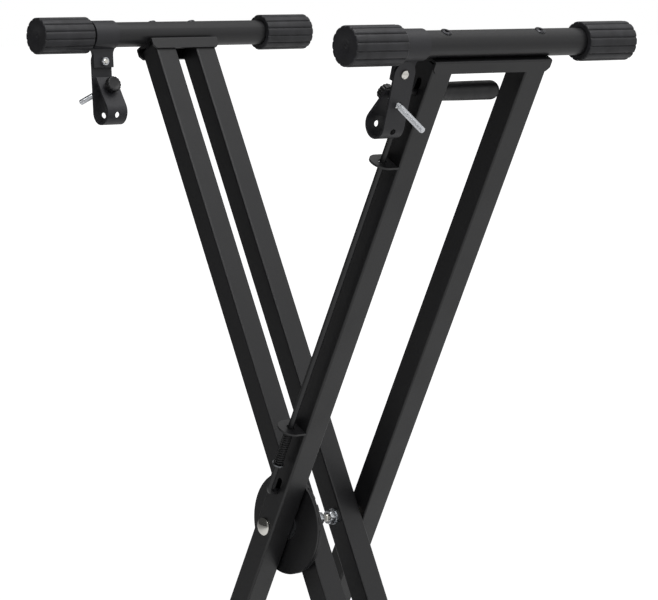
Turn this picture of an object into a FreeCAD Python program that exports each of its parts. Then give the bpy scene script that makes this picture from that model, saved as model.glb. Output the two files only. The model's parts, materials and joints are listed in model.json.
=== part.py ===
# Folding keyboard stand: two crossed frames of square tube that turn about one pivot, a notched
# disc with a spring-loaded pin that holds them at a set angle, ribbed end caps on the cross tubes
# and a hanging strap bracket with a thumbscrew at the front of each top tube.
#
# Frame of the model: +Z up, -Y front, X across the fold, origin on the floor under the pivot.
# Frame of one folding frame: local Z runs up its arms from the pivot, local Y along the pivot.
import FreeCAD, Part
import Sketcher
import math
import os
import re

V = FreeCAD.Vector

SIZES = {
    # folding frames
    "arm_reach": 532.0,          # pivot to the centre of a cross tube, along the arm
    "half_angle": 27.5,          # arm from the vertical, as it stands
    "arm_width": 25.0,
    "arm_wall": 1.5,
    "arm_corner": 2.0,
    "arm_corner_inside": 1.0,
    "inner_gap": 12.5,           # middle of the inner frame to the near face of each of its arms
    "frame_gap": 7.25,           # between an inner and an outer arm, on average
    "inner_shift": 5.0,          # the inner frame sits this far behind the outer one's middle
    "plug_length": 16.0,
    "plug_corner": 1.2,
    "plug_fit": 0.1,
    # cross tubes and their caps
    "tube_across": 25.4,
    "tube_wall": 1.5,
    "top_length": 341.0,         # over the caps
    "base_length": 430.0,
    "cap_wall": 5.75,
    "cap_length": 60.0,
    "cap_end": 3.5,
    "cap_edge": 2.0,
    "cap_ribs": 14,
    "cap_groove_wide": 2.0,
    "cap_groove_deep": 1.1,
    "cap_fit": 0.05,
    # channels that join arms to cross tubes
    "channel_wall": 2.2,
    "channel_deep": 10.0,        # from the foot of the saddle
    "saddle_deep": 2.2,          # the cross tube sinks this far into the web
    "saddle_fit": 0.05,
    "channel_bend": 1.8,
    "channel_corner": 4.0,
    "outer_overhang": 1.3,
    "inner_overhang": 4.1,
    # screws through the cross tubes
    "screw_across": 6.0,
    "screw_play": 0.3,
    "screw_head_across": 10.5,
    "screw_head_high": 3.3,
    "screw_head_rim": 1.0,
    "screw_head_flat": 5.8,
    "screw_socket": 4.0,
    "screw_socket_deep": 2.0,
    "screw_grip": 42.0,
    # pivot
    "pivot_across": 8.0,
    "pivot_play": 0.1,
    "dome_across": 17.5,
    "dome_high": 4.5,
    "dome_rim": 1.6,
    "bolt_point": 0.6,
    "nut_flats": 13.0,
    "nut_high": 6.5,
    "thread_fit": 0.05,
    "washer_across": 16.0,
    "washer_thick": 1.6,
    "bolt_past_nut": 2.5,
    "bushing_wall": 1.45,
    "bushing_fit": 0.05,
    "spacer_across": 32.0,
    "spacer_thick": 1.5,
    "side_washer_across": 22.0,
    "side_play": 0.1,
    # lock: fixed guide disc, notched disc on the inner frame, sprung rod
    "disc_across": 100.0,
    "guide_disc_thick": 2.0,
    "disc_play": 0.4,
    "notched_disc_thick": 3.0,
    "hub_across": 34.0,
    "pin_radius": 42.0,          # pivot to the engaged pin
    "pin_past_disc": 1.0,
    "notch_first": 10.0,         # included angle at the most folded notch
    "notch_step": 15.0,
    "notch_count": 8,
    "notch_play": 0.35,
    "rod_across": 5.5,
    "rod_ahead": 10.25,          # rod centre in front of the front arm's face
    "rod_bend": 7.0,
    "rod_slide": 12.0,
    "slot_play": 0.5,
    "grip_down": 49.0,           # below the centre of the top tube
    "grip_across": 18.0,
    "grip_behind": 1.75,         # behind the inside of the front arm
    "grip_length": 72.5,
    "grip_wall": 12.0,
    "grip_edge": 1.0,
    "grip_end_play": 0.5,
    "tab_below_grip": 73.5,
    "tab_lower": 116.0,
    "tab_thick": 2.0,
    "tab_round": 12.5,
    "tab_play": 1.25,
    "spring_round": 0.7,         # between the rod and the coil
    "spring_wire": 1.2,
    "spring_lead": 1.56,         # radius of the bend from each straight end into the coil
    "spring_turns": 16,
    "spring_seat_up": 75.0,
    "spring_play": 0.3,
    "seat_edge": 1.1,            # past the coil
    "seat_thick": 1.5,
    "seat_play": 0.1,
    "seat_pin_across": 1.6,
    "seat_pin_length": 9.0,
    # strap brackets
    "right_from_cap": 0.1,       # each collar behind the front cap of its tube
    "left_from_cap": 4.5,
    "right_swing": 17.0,         # how far each bracket hangs inwards
    "left_swing": 4.0,
    "collar_wide": 28.0,
    "collar_wall": 1.8,
    "collar_fit": 0.1,
    "ear_wide": 24.0,
    "ear_flare": 6.0,            # height over which an ear widens to the band
    "ear_left": -0.5,
    "ear_wall": 1.95,
    "ear_split": 0.1,
    "ear_below_clamp": 6.2,
    "strap_wide": 24.0,
    "strap_end_flat": 0.1,
    "strap_wall": 2.0,
    "clamp_below_collar": 12.2,
    "strap_bend": 13.25,         # outside radius at the bottom of the loop
    "bend_below_clamp": 51.2,
    "strap_lean": 29.5,          # the inner leg from the vertical
    "strap_inner_up": 33.0,      # length of the inner leg past the bend
    "strap_hole": 6.0,
    "hole_below_clamp": 54.7,
    "clamp_across": 5.0,
    "clamp_play": 0.2,
    "clamp_head_across": 9.0,
    "clamp_head_high": 3.0,
    "clamp_head_rim": 1.0,
    "clamp_nut_flats": 8.0,
    "clamp_nut_high": 4.0,
    "clamp_past_nut": 1.0,
    "stud_across": 6.0,
    "stud_step": 0.5,            # the neck in the nut, the strap and the knob is this much less in radius
    "stud_free": 36.0,           # length of the full thread at the free end
    "stud_point": 0.7,
    "stud_end_play": 0.5,
    "stud_tilt": 15.5,
    "stud_in": 3.1,
    "stud_below_clamp": 27.9,
    "stud_out": 45.0,
    "stud_play": 0.3,
    "stud_nut_flats": 10.0,
    "stud_nut_high": 4.0,
    "stud_nut_clear": 0.4,
    "knob_across": 16.0,
    "knob_thick": 7.5,
    "knob_start": 11.4,
    "knob_skin": 2.0,            # closed end over the stud
    "knob_ribs": 14,
    "knob_groove_wide": 1.4,
    "knob_groove_deep": 0.6,
    "knob_edge": 1.0,
}

# Sizes that follow from others. A name here may use the names above it.
FORMULAS = {
    "inner_spacing": "inner_gap + arm_width / 2",
    "outer_spacing": "inner_spacing + arm_width + frame_gap",
    "cap_across": "tube_across + 2 * (cap_fit + cap_wall)",
    "screw_hole": "screw_across + 2 * screw_play",
    "pivot_hole": "pivot_across + 2 * pivot_play",
    "bushing_across": "pivot_across + 2 * (bushing_fit + bushing_wall)",
    "pivot_up": "arm_reach * cos(half_angle) + cap_across / 2",
    "arm_half": "arm_reach - tube_across / 2 - channel_wall",
    "outer_face": "outer_spacing + arm_width / 2",
    "outer_inside": "outer_spacing - arm_width / 2",
    "inner_front": "inner_spacing + arm_width / 2 - inner_shift",
    "inner_rear": "inner_spacing + arm_width / 2 + inner_shift",
    "grip_up": "arm_reach - grip_down",
    "grip_front": "grip_behind - outer_inside",
    "tab_upper": "grip_up - tab_below_grip",
    "tab_hole": "rod_across + 2 * tab_play",
    "saddle_outside": "tube_across / 2 + saddle_fit",
    "saddle_inside": "tube_across / 2 + channel_wall",
    "saddle_rim": "tube_across / 2 - saddle_deep",
    "rod_y": "outer_face + rod_ahead",
    "guide_disc_y": "outer_inside - spacer_thick - guide_disc_thick / 2",
    "notched_disc_y": "guide_disc_y - guide_disc_thick / 2 - disc_play - notched_disc_thick / 2",
    "slot_half": "rod_across / 2 + slot_play",
    "notch_half": "rod_across / 2 + notch_play",
    "spring_across": "rod_across + 2 * (spring_round + spring_wire)",
    "seat_across": "spring_across + 2 * seat_edge",
    "seat_hole": "rod_across + 2 * seat_play",
    "spring_low": "spring_seat_up + seat_thick + spring_play",
    "spring_high": "tab_lower - spring_play",
    "strap_outside": "ear_left - strap_wall",
    "bend_in": "strap_outside + strap_bend",
    "ear_right": "ear_left + 2 * ear_wall + ear_split",
    "collar_outer": "tube_across / 2 + collar_fit + collar_wall",
    "collar_inner": "tube_across / 2 + collar_fit",
    "right_ahead": "top_length / 2 - cap_length - collar_wide / 2 - right_from_cap",
    "left_ahead": "top_length / 2 - cap_length - collar_wide / 2 - left_from_cap",
    "clamp_down": "collar_outer + clamp_below_collar",
    "clamp_hole": "clamp_across + 2 * clamp_play",
    "ear_down": "clamp_down + ear_below_clamp",
    "strap_bend_down": "clamp_down + bend_below_clamp",
    "strap_hole_down": "clamp_down + hole_below_clamp",
    "stud_down": "clamp_down + stud_below_clamp",
    "stud_hole": "stud_across + 2 * stud_play",
    "stud_neck_across": "stud_across - 2 * stud_step",
    "ear_step": "(collar_wide - ear_wide) / 2",
    "flare_radius": "(ear_flare * ear_flare + ear_step * ear_step) / 2 / ear_step",
    "stud_bore": "stud_neck_across + 2 * thread_fit",
}

NAME = re.compile(r"[a-z_]+")
document = FreeCAD.newDocument("keyboard_stand")
sheet = document.addObject("Spreadsheet::Sheet", "Sizes")
for line, (alias, size) in enumerate(SIZES.items(), start=1):
    sheet.set(f"A{line}", alias)
    sheet.set(f"B{line}", str(size))
    sheet.setAlias(f"B{line}", alias)
document.recompute()


def bound(formula):
    """Write a formula with each name as its cell in the sheet."""
    def cell(match):
        word = match.group()
        if word in FORMULAS:
            return "(" + bound(FORMULAS[word]) + ")"
        return "Sizes." + word if word in SIZES else word
    return NAME.sub(cell, str(formula))


def number(formula):
    """The value of a formula with the sizes as they are."""
    return float(sheet.evalExpression(bound(formula)))


def at(x=0, y=0, z=0, axis=(0, 0, 1), turn=0):
    """A placement as a formula: a turn about an axis, then a move."""
    along = "; ".join(str(part) for part in axis)
    return f"placement(vector({x}; {y}; {z}); rotation(vector({along}); {turn}))"


def place(item, *steps):
    item.setExpression("Placement", bound(" * ".join(steps)))


OUTER = at(z="pivot_up", axis=(0, 1, 0), turn="half_angle")
INNER = at(y="inner_shift", z="pivot_up", axis=(0, 1, 0), turn="-half_angle")
TO_FRONT = dict(axis=(1, 0, 0), turn=90)
TO_REAR = dict(axis=(1, 0, 0), turn=-90)


# ---- sketches ---------------------------------------------------------------------------------

def sketch_on(body, role, offset=0):
    """A sketch on one of the body's own planes, moved along the plane's normal."""
    plane = next(item for item in body.Origin.OriginFeatures if item.Role == role)
    sketch = body.newObject("Sketcher::SketchObject", body.Name + "_sketch")
    sketch.AttachmentSupport = [(plane, "")]
    sketch.MapMode = "FlatFace"
    sketch.setExpression("AttachmentOffset.Base.z", bound(f"1 * ({offset})"))
    return sketch


def hold(sketch, kind, geometry, point, formula):
    """Bind one coordinate of a point to a formula."""
    index = sketch.addConstraint(Sketcher.Constraint(kind, -1, 1, geometry, point, number(formula)))
    sketch.setExpression(f"Constraints[{index}]", bound(f"1 * ({formula})"))


def outline(sketch, path, closed=True):
    """Draw a path of corners (x, y), with ("arc", x, y, turn) between two of them for an arc about
    (x, y): turn is 1 against the clock and -1 with it."""
    corners = [step for step in path if step[0] != "arc"]
    spots = [V(number(x), number(y), 0) for x, y in corners]
    ends = []
    count = -1
    for place_in_path, step in enumerate(path):
        if step[0] == "arc":
            continue
        count += 1
        following = path[(place_in_path + 1) % len(path)]
        if not closed and count == len(corners) - 1:
            break
        start = spots[count]
        finish = spots[(count + 1) % len(spots)]
        if following[0] == "arc":
            ends.append(draw_arc(sketch, start, finish, following))
        else:
            ends.append((sketch.addGeometry(Part.LineSegment(start, finish)), 1, 2))
    for index, (geometry, first, last) in enumerate(ends):
        x, y = corners[index]
        hold(sketch, "DistanceX", geometry, first, x)
        hold(sketch, "DistanceY", geometry, first, y)
        if closed or index + 1 < len(ends):
            after, after_first, _ = ends[(index + 1) % len(ends)]
            sketch.addConstraint(Sketcher.Constraint("Coincident", geometry, last, after, after_first))
        else:
            x, y = corners[index + 1]
            hold(sketch, "DistanceX", geometry, last, x)
            hold(sketch, "DistanceY", geometry, last, y)
    return sketch


def draw_arc(sketch, start, finish, step):
    """Add an arc and hold its centre along the line that halves its chord."""
    _, x, y, turn = step
    centre = V(number(x), number(y), 0)
    begin, end = (start, finish) if turn > 0 else (finish, start)
    from_angle = math.atan2(begin.y - centre.y, begin.x - centre.x)
    to_angle = math.atan2(end.y - centre.y, end.x - centre.x)
    circle = Part.Circle(centre, V(0, 0, 1), (start - centre).Length)
    geometry = sketch.addGeometry(Part.ArcOfCircle(circle, from_angle, to_angle))
    chord = finish - start
    if abs(chord.x) > abs(chord.y):
        hold(sketch, "DistanceY", geometry, 3, y)
    else:
        hold(sketch, "DistanceX", geometry, 3, x)
    return (geometry, 1, 2) if turn > 0 else (geometry, 2, 1)


def circle(sketch, x, y, across):
    geometry = sketch.addGeometry(Part.Circle(V(number(x), number(y), 0), V(0, 0, 1), number(across) / 2))
    hold(sketch, "DistanceX", geometry, 3, x)
    hold(sketch, "DistanceY", geometry, 3, y)
    index = sketch.addConstraint(Sketcher.Constraint("Diameter", geometry, number(across)))
    sketch.setExpression(f"Constraints[{index}]", bound(f"1 * ({across})"))
    return sketch


def hexagon(sketch, flats):
    corners = [(f"{flats} / 2 / cos(30) * cos({turn})", f"{flats} / 2 / cos(30) * sin({turn})")
               for turn in range(0, 360, 60)]
    return outline(sketch, corners)


def rounded_square(sketch, half, radius):
    """A square about the origin with round corners."""
    inner = f"({half} - {radius})"
    path = []
    for across, up in ((1, 1), (-1, 1), (-1, -1), (1, -1)):
        arc = ("arc", f"{across} * {inner}", f"{up} * {inner}", 1)
        side = (f"{across} * {half}", f"{up} * {inner}")
        level = (f"{across} * {inner}", f"{up} * {half}")
        path += [side, arc, level] if across == up else [level, arc, side]
    return outline(sketch, path)


def slot(sketch, low, high, half):
    """An upright slot with round ends, on the line x = 0."""
    return outline(sketch, [(half, low), (half, high), ("arc", 0, high, 1),
                            (f"-{half}", high), (f"-{half}", low), ("arc", 0, low, 1)])


# ---- solids -----------------------------------------------------------------------------------

NEAR = 0.01                      # two places closer than this are the same place
NODES = []
CUTS = []


def body(name, kept=True):
    item = document.addObject("PartDesign::Body", name)
    item.Label = name if kept else name + "_blank"
    if kept:
        NODES.append(item)
    return item


def pad(owner, sketch, length, both=True):
    """Thicken a sketch, to both sides of its plane or along its normal."""
    item = owner.newObject("PartDesign::Pad", owner.Name + "_pad")
    item.Profile = sketch
    item.SideType = "Symmetric" if both else "One side"
    item.setExpression("Length", bound(f"1 * ({length})"))
    return item


def pocket(owner, sketch, length=None):
    """Cut a sketch right through, or to both sides of its plane over a length in all."""
    item = owner.newObject("PartDesign::Pocket", owner.Name + "_pocket")
    item.Profile = sketch
    item.SideType = "Symmetric"
    if length is None:
        item.Type = "ThroughAll"
    else:
        item.setExpression("Length", bound(f"1 * ({length})"))
    CUTS.append(item)
    return item


def lathe(owner, path):
    """Turn an outline of (radius, height) about the local Z axis."""
    sketch = outline(sketch_on(owner, "XZ_Plane"), path)
    item = owner.newObject("PartDesign::Revolution", owner.Name + "_turned")
    item.Profile = sketch
    item.ReferenceAxis = (sketch, ["V_Axis"])
    item.Angle = 360
    return item


def edges(feature, wanted):
    document.recompute()
    return [f"Edge{index}" for index, edge in enumerate(feature.Shape.Edges, start=1) if wanted(edge)]


def dress(owner, kind, feature, wanted, size):
    """Fillet or chamfer the edges of a feature that a test picks out."""
    names = edges(feature, wanted)
    item = owner.newObject("PartDesign::" + kind, owner.Name + "_" + kind.lower())
    item.Base = (feature, names)
    item.setExpression("Radius" if kind == "Fillet" else "Size", bound(f"1 * ({size})"))
    return item


def near(first, second):
    return abs(first - second) < NEAR


def ribbed(owner, across, length, ribs, wide, deep, edge):
    """A round bar from z = 0 up, with grooves along it and a softened far edge."""
    bar = pad(owner, circle(sketch_on(owner, "XY_Plane"), 0, 0, across), length, both=False)
    top = number(length)
    dress(owner, "Fillet", bar, lambda rim: near(rim.BoundBox.ZMin, top), edge)
    groove = sketch_on(owner, "XY_Plane")
    depth = f"({across} / 2 - {deep})"
    for rib in range(int(number(ribs))):
        turn = f"({rib} + 0.5) * 360 / {ribs}"
        corners = ((depth, 0), (f"({across} / 2 + {deep})", wide), (f"({across} / 2 + {deep})", f"-{wide}"))
        outline(groove, [(f"{out} * cos({turn}) - ({side}) * sin({turn})",
                          f"{out} * sin({turn}) + ({side}) * cos({turn})") for out, side in corners])
    return pocket(owner, groove)


def group(name, members):
    """Several alike pieces that share one node."""
    item = document.addObject("Part::Compound", name)
    item.Label = name
    item.Links = members
    NODES.append(item)
    return item


def drilled(name, blank, bit, *steps):
    """A piece with a hole that no plane of its own meets squarely."""
    item = document.addObject("Part::Cut", name)
    item.Label = name
    item.Base = blank
    item.Tool = bit
    place(item, *steps)
    NODES.append(item)
    return item


def rod(name, across, length, *steps):
    item = document.addObject("Part::Cylinder", name)
    item.setExpression("Radius", bound(f"({across}) / 2"))
    item.setExpression("Height", bound(f"1 * ({length})"))
    place(item, *steps)
    return item


# ---- the two frames ---------------------------------------------------------------------------

def arm(name, y, steps, slots=()):
    owner = body(name)
    shell = rounded_square(sketch_on(owner, "XY_Plane"), "(arm_width / 2)", "arm_corner")
    rounded_square(shell, "(arm_width / 2 - arm_wall)", "arm_corner_inside")
    pad(owner, shell, "2 * arm_half")
    pocket(owner, circle(sketch_on(owner, "XZ_Plane"), 0, 0, bore_of(name)))
    for low, high in slots:
        pocket(owner, slot(sketch_on(owner, "XZ_Plane"), low, high, "slot_half"))
    place(owner, *steps, at(y=y))


def bore_of(name):
    """Outer arms hold the pivot bolts, and inner arms hold the bushings round them."""
    return "pivot_hole" if name.startswith("outer") else "bushing_across + 2 * bushing_fit"


def channel(name, side, spacing, overhang, steps):
    """A pressed channel over the arm ends, with a saddle in its web for the cross tube."""
    owner = body(name)
    half = "(arm_width / 2 + channel_wall)"
    inside = "(arm_width / 2)"
    web = "(arm_reach - saddle_rim)"
    low = "(arm_reach - tube_across / 2 - channel_deep)"
    bend = "channel_bend"
    out = "sqrt(saddle_outside * saddle_outside - saddle_rim * saddle_rim)"
    under = "(saddle_rim + channel_wall)"
    into = f"sqrt(saddle_inside * saddle_inside - {under} * {under})"
    path = [(f"-{half}", low), (f"-{inside}", low), (f"-{inside}", f"{web} - channel_wall"),
            (f"-{into}", f"{web} - channel_wall"), ("arc", 0, "arm_reach", 1),
            (into, f"{web} - channel_wall"), (inside, f"{web} - channel_wall"), (inside, low), (half, low),
            (half, f"{web} - {bend}"), ("arc", f"{half} - {bend}", f"{web} - {bend}", 1),
            (f"{half} - {bend}", web), (out, web), ("arc", 0, "arm_reach", -1), (f"-{out}", web),
            (f"{bend} - {half}", web), ("arc", f"{bend} - {half}", f"{web} - {bend}", 1),
            (f"-{half}", f"{web} - {bend}")]
    bent = pad(owner, outline(sketch_on(owner, "XZ_Plane"), path),
               f"2 * ({spacing} + arm_width / 2 + {overhang})")
    foot = number(low)
    end = number(f"{spacing} + arm_width / 2 + {overhang}")
    dress(owner, "Chamfer", bent,
          lambda rim: near(rim.BoundBox.ZMax, foot) and near(rim.BoundBox.YMin, rim.BoundBox.YMax)
          and near(abs(rim.BoundBox.YMin), end), "channel_corner")
    holes = sketch_on(owner, "XY_Plane")
    for y in (spacing, f"-{spacing}"):
        circle(holes, 0, y, "screw_hole")
    pocket(owner, holes)
    place(owner, *steps, at(axis=(1, 0, 0), turn=0 if side > 0 else 180))


def cross_tube(name, side, length, spacing, steps):
    owner = body(name)
    ring = sketch_on(owner, "XZ_Plane")
    circle(ring, 0, 0, "tube_across")
    circle(ring, 0, 0, "tube_across - 2 * tube_wall")
    pad(owner, ring, f"{length} - 2 * cap_end")
    holes = sketch_on(owner, "XY_Plane")
    for y in (spacing, f"-{spacing}"):
        circle(holes, 0, y, "screw_hole")
    pocket(owner, holes)
    place(owner, *steps, at(z=f"{side} * arm_reach"))


def end_cap(name, side, length, facing, steps):
    owner = body(name)
    ribbed(owner, "cap_across", "cap_length", "cap_ribs", "cap_groove_wide", "cap_groove_deep", "cap_edge")
    bore = circle(sketch_on(owner, "XY_Plane"), 0, 0, "tube_across + 2 * cap_fit")
    pocket(owner, bore, "2 * (cap_length - cap_end)")
    turn = TO_FRONT if facing < 0 else TO_REAR
    place(owner, *steps, at(y=f"{facing} * ({length} / 2 - cap_length)", z=f"{side} * arm_reach", **turn))


def button_screw(name, steps):
    """A low domed head on z = 0 with a six-sided socket, and a shank down from it."""
    owner = body(name, kept=False)
    rise = "screw_head_high"
    half = "screw_head_across / 2"
    lathe(owner, [(0, "-screw_grip"), ("screw_across / 2", "-screw_grip"), ("screw_across / 2", 0), (half, 0),
                  (half, "screw_head_rim"), ("screw_head_flat / 2", rise), (0, rise)])
    pocket(owner, hexagon(sketch_on(owner, "XY_Plane", rise), "screw_socket"), "2 * screw_socket_deep")
    place(owner, *steps)
    return owner


def arm_plug(name, steps):
    """The threaded block in the end of an arm that a cross tube's screw pulls on."""
    owner = body(name, kept=False)
    half = "(arm_width / 2 - arm_wall - plug_fit)"
    pad(owner, rounded_square(sketch_on(owner, "XY_Plane"), half, "plug_corner"), "plug_length", both=False)
    pocket(owner, circle(sketch_on(owner, "XY_Plane"), 0, 0, "screw_across + 2 * thread_fit"))
    place(owner, *steps)
    return owner


def folding_frame(prefix, spacing, overhang, steps, slots=()):
    """Arms, channels, cross tubes, caps, plugs and screws of one frame."""
    arm(f"{prefix}_arm_front", f"-{spacing}", steps, slots)
    arm(f"{prefix}_arm_rear", spacing, steps)
    screws = []
    plugs = []
    for level, side, length in (("top", 1, "top_length"), ("base", -1, "base_length")):
        channel(f"{prefix}_{level}_channel", side, spacing, overhang, steps)
        cross_tube(f"{prefix}_{level}_tube", side, length, spacing, steps)
        for end, facing in (("front", -1), ("rear", 1)):
            end_cap(f"{prefix}_{level}_cap_{end}", side, length, facing, steps)
            flip = dict(axis=(1, 0, 0), turn=0 if side > 0 else 180)
            y = f"{facing} * {spacing}"
            head = at(y=y, z=f"{side} * (arm_reach + tube_across / 2)", **flip)
            screws.append(button_screw(f"{prefix}_{level}_screw_{end}", [*steps, head]))
            seat = at(y=y, z=f"{side} * (arm_half - plug_length)", **flip)
            plugs.append(arm_plug(f"{prefix}_{level}_plug_{end}", [*steps, seat]))
    group(f"{prefix}_tube_screws", screws)
    group(f"{prefix}_arm_plugs", plugs)


# ---- pivot ------------------------------------------------------------------------------------

def nut(name, flats, high, bore, steps, kept=True):
    owner = body(name, kept)
    pad(owner, hexagon(sketch_on(owner, "XY_Plane"), flats), high, both=False)
    pocket(owner, circle(sketch_on(owner, "XY_Plane"), 0, 0, f"{bore} + 2 * thread_fit"))
    place(owner, *steps)
    return owner


def ring(name, across, hole, thick, steps, kept=True):
    owner = body(name, kept)
    flat = sketch_on(owner, "XY_Plane")
    circle(flat, 0, 0, across)
    circle(flat, 0, 0, hole)
    pad(owner, flat, thick, both=False)
    place(owner, *steps)
    return owner


def dome_bolt(name, across, head_across, head_high, edge, length, steps):
    """A bolt with a round domed head above z = 0; edge is the height of the head's straight rim."""
    owner = body(name)
    rise = f"({head_high} - {edge})"
    radius = f"((({head_across} / 2) * ({head_across} / 2) + {rise} * {rise}) / 2 / {rise})"
    shank = f"({across} / 2)"
    rim = f"({head_across} / 2)"
    lathe(owner, [(0, f"-({length})"), (f"{shank} - bolt_point", f"-({length})"),
                  (shank, f"bolt_point - ({length})"), (shank, 0), (rim, 0), (rim, edge),
                  ("arc", 0, f"{head_high} - {radius}", 1), (0, head_high)])
    place(owner, *steps)


def pivot():
    """Two bolts on one line, each with a washer and nut behind the inner arm."""
    stack = "(washer_thick + nut_high + bolt_past_nut)"
    front_nut = "(-inner_gap + inner_shift)"
    rear_nut = "(inner_gap + inner_shift)"
    dome_bolt("pivot_bolt_front", "pivot_across", "dome_across", "dome_high", "dome_rim",
              f"outer_face + {front_nut} + {stack}", [OUTER, at(y="-outer_face", **TO_FRONT)])
    dome_bolt("pivot_bolt_rear", "pivot_across", "dome_across", "dome_high", "dome_rim",
              f"outer_face - {rear_nut} + {stack}", [OUTER, at(y="outer_face", **TO_REAR)])
    seats = ((f"{front_nut} + side_play", 1, TO_REAR), (f"{rear_nut} - side_play", -1, TO_FRONT))
    group("pivot_washers", [
        ring(f"pivot_washer_{index}", "washer_across", "pivot_hole", "washer_thick",
             [OUTER, at(y=y, **turn)], kept=False)
        for index, (y, _, turn) in enumerate(seats)])
    group("pivot_nuts", [
        nut(f"pivot_nut_{index}", "nut_flats", "nut_high", "pivot_across",
            [OUTER, at(y=f"{y} + {way} * washer_thick", **turn)], kept=False)
        for index, (y, way, turn) in enumerate(seats)])
    ring("pivot_side_washer", "side_washer_across", "pivot_hole",
         "outer_inside - inner_rear - side_play", [OUTER, at(y="outer_inside", **TO_FRONT)])
    ring("pivot_spacer", "spacer_across", "pivot_hole", "spacer_thick",
         [OUTER, at(y="-outer_inside", **TO_REAR)])
    group("pivot_bushings", [
        ring(f"pivot_bushing_{index}", "bushing_across", "pivot_across + 2 * bushing_fit", "arm_width",
             [INNER, at(y=f"{way} * inner_spacing - arm_width / 2", **TO_REAR)], kept=False)
        for index, way in enumerate((-1, 1))])


# ---- lock -------------------------------------------------------------------------------------

def guide_disc():
    """The fixed disc that keeps the pin on its line; its slot is open at the rim."""
    owner = body("guide_disc")
    flat = sketch_on(owner, "XZ_Plane", "guide_disc_y")
    circle(flat, 0, 0, "disc_across")
    circle(flat, 0, 0, "pivot_hole")
    pad(owner, flat, "guide_disc_thick")
    pocket(owner, slot(sketch_on(owner, "XZ_Plane", "guide_disc_y"), "pin_radius - slot_play",
                       "disc_across", "slot_half"))
    place(owner, OUTER)


def notched_disc():
    """The inner frame's disc: one notch in its rim for each angle of the fold."""
    owner = body("notched_disc")
    spot = "notched_disc_y + inner_shift"
    flat = sketch_on(owner, "XZ_Plane", spot)
    circle(flat, 0, 0, "disc_across")
    circle(flat, 0, 0, "pivot_hole + 2 * bushing_fit")
    pad(owner, flat, "notched_disc_thick")
    notches = sketch_on(owner, "XZ_Plane", spot)
    far = "disc_across"
    for notch in range(int(number("notch_count"))):
        turn = f"(notch_first + {notch} * notch_step)"
        corners = [("notch_half", far), ("-notch_half", far), ("-notch_half", "pin_radius"),
                   ("notch_half", "pin_radius")]
        path = [(f"{x} * cos({turn}) + {z} * sin({turn})", f"{z} * cos({turn}) - ({x}) * sin({turn})")
                for x, z in corners]
        path.insert(3, ("arc", f"pin_radius * sin({turn})", f"pin_radius * cos({turn})", 1))
        outline(notches, path)
    pocket(owner, notches)
    place(owner, INNER)
    ring("notched_disc_hub", "hub_across", "pivot_hole + 2 * bushing_fit",
         "notched_disc_y - notched_disc_thick / 2 - inner_front",
         [INNER, at(y="-(inner_front + inner_shift)", **TO_FRONT)])


def guide_tab(name, up):
    owner = body(name)
    plate = sketch_on(owner, "XY_Plane", up)
    outline(plate, [("-tab_round", "-outer_face"), ("-tab_round", "-rod_y"), ("arc", 0, "-rod_y", 1),
                    ("tab_round", "-rod_y"), ("tab_round", "-outer_face")])
    circle(plate, 0, "-rod_y", "tab_hole")
    pad(owner, plate, "tab_thick", both=False)
    place(owner, OUTER)


def release_rod():
    """One bent rod: its lower leg is the lock pin and its upper leg carries the grip."""
    owner = body("release_rod")
    low = "pin_radius"
    tip = "-(notched_disc_y - notched_disc_thick / 2 - pin_past_disc)"
    end = "(grip_front + grip_length - grip_wall)"
    line = outline(sketch_on(owner, "YZ_Plane"), [
        (tip, low), ("rod_bend - rod_y", low), ("arc", "rod_bend - rod_y", f"{low} + rod_bend", -1),
        ("-rod_y", f"{low} + rod_bend"), ("-rod_y", "grip_up - rod_bend"),
        ("arc", "rod_bend - rod_y", "grip_up - rod_bend", -1), ("rod_bend - rod_y", "grip_up"),
        (end, "grip_up")], closed=False)
    section = circle(sketch_on(owner, "XZ_Plane", f"-({tip})"), 0, low, "rod_across")
    bent = owner.newObject("PartDesign::AdditivePipe", "release_rod_pipe")
    bent.Profile = section
    bent.Spine = (line, [f"Edge{index}" for index in range(1, 6)])
    pocket(owner, circle(sketch_on(owner, "YZ_Plane"), "-rod_y", "spring_seat_up - seat_pin_across / 2",
                         "seat_pin_across"))
    place(owner, OUTER)


def release_grip():
    owner = body("release_grip")
    half = "grip_across / 2"
    bore = "(rod_across / 2 + thread_fit)"
    solid = "(grip_length - grip_wall + grip_end_play)"
    lathe(owner, [(bore, 0), (f"{half} - grip_edge", 0), (half, "grip_edge"), (half, f"grip_length - {half}"),
                  ("arc", 0, f"grip_length - {half}", 1), (0, "grip_length"), (0, solid), (bore, solid)])
    place(owner, OUTER, at(y="grip_front", z="grip_up", **TO_REAR))


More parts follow.
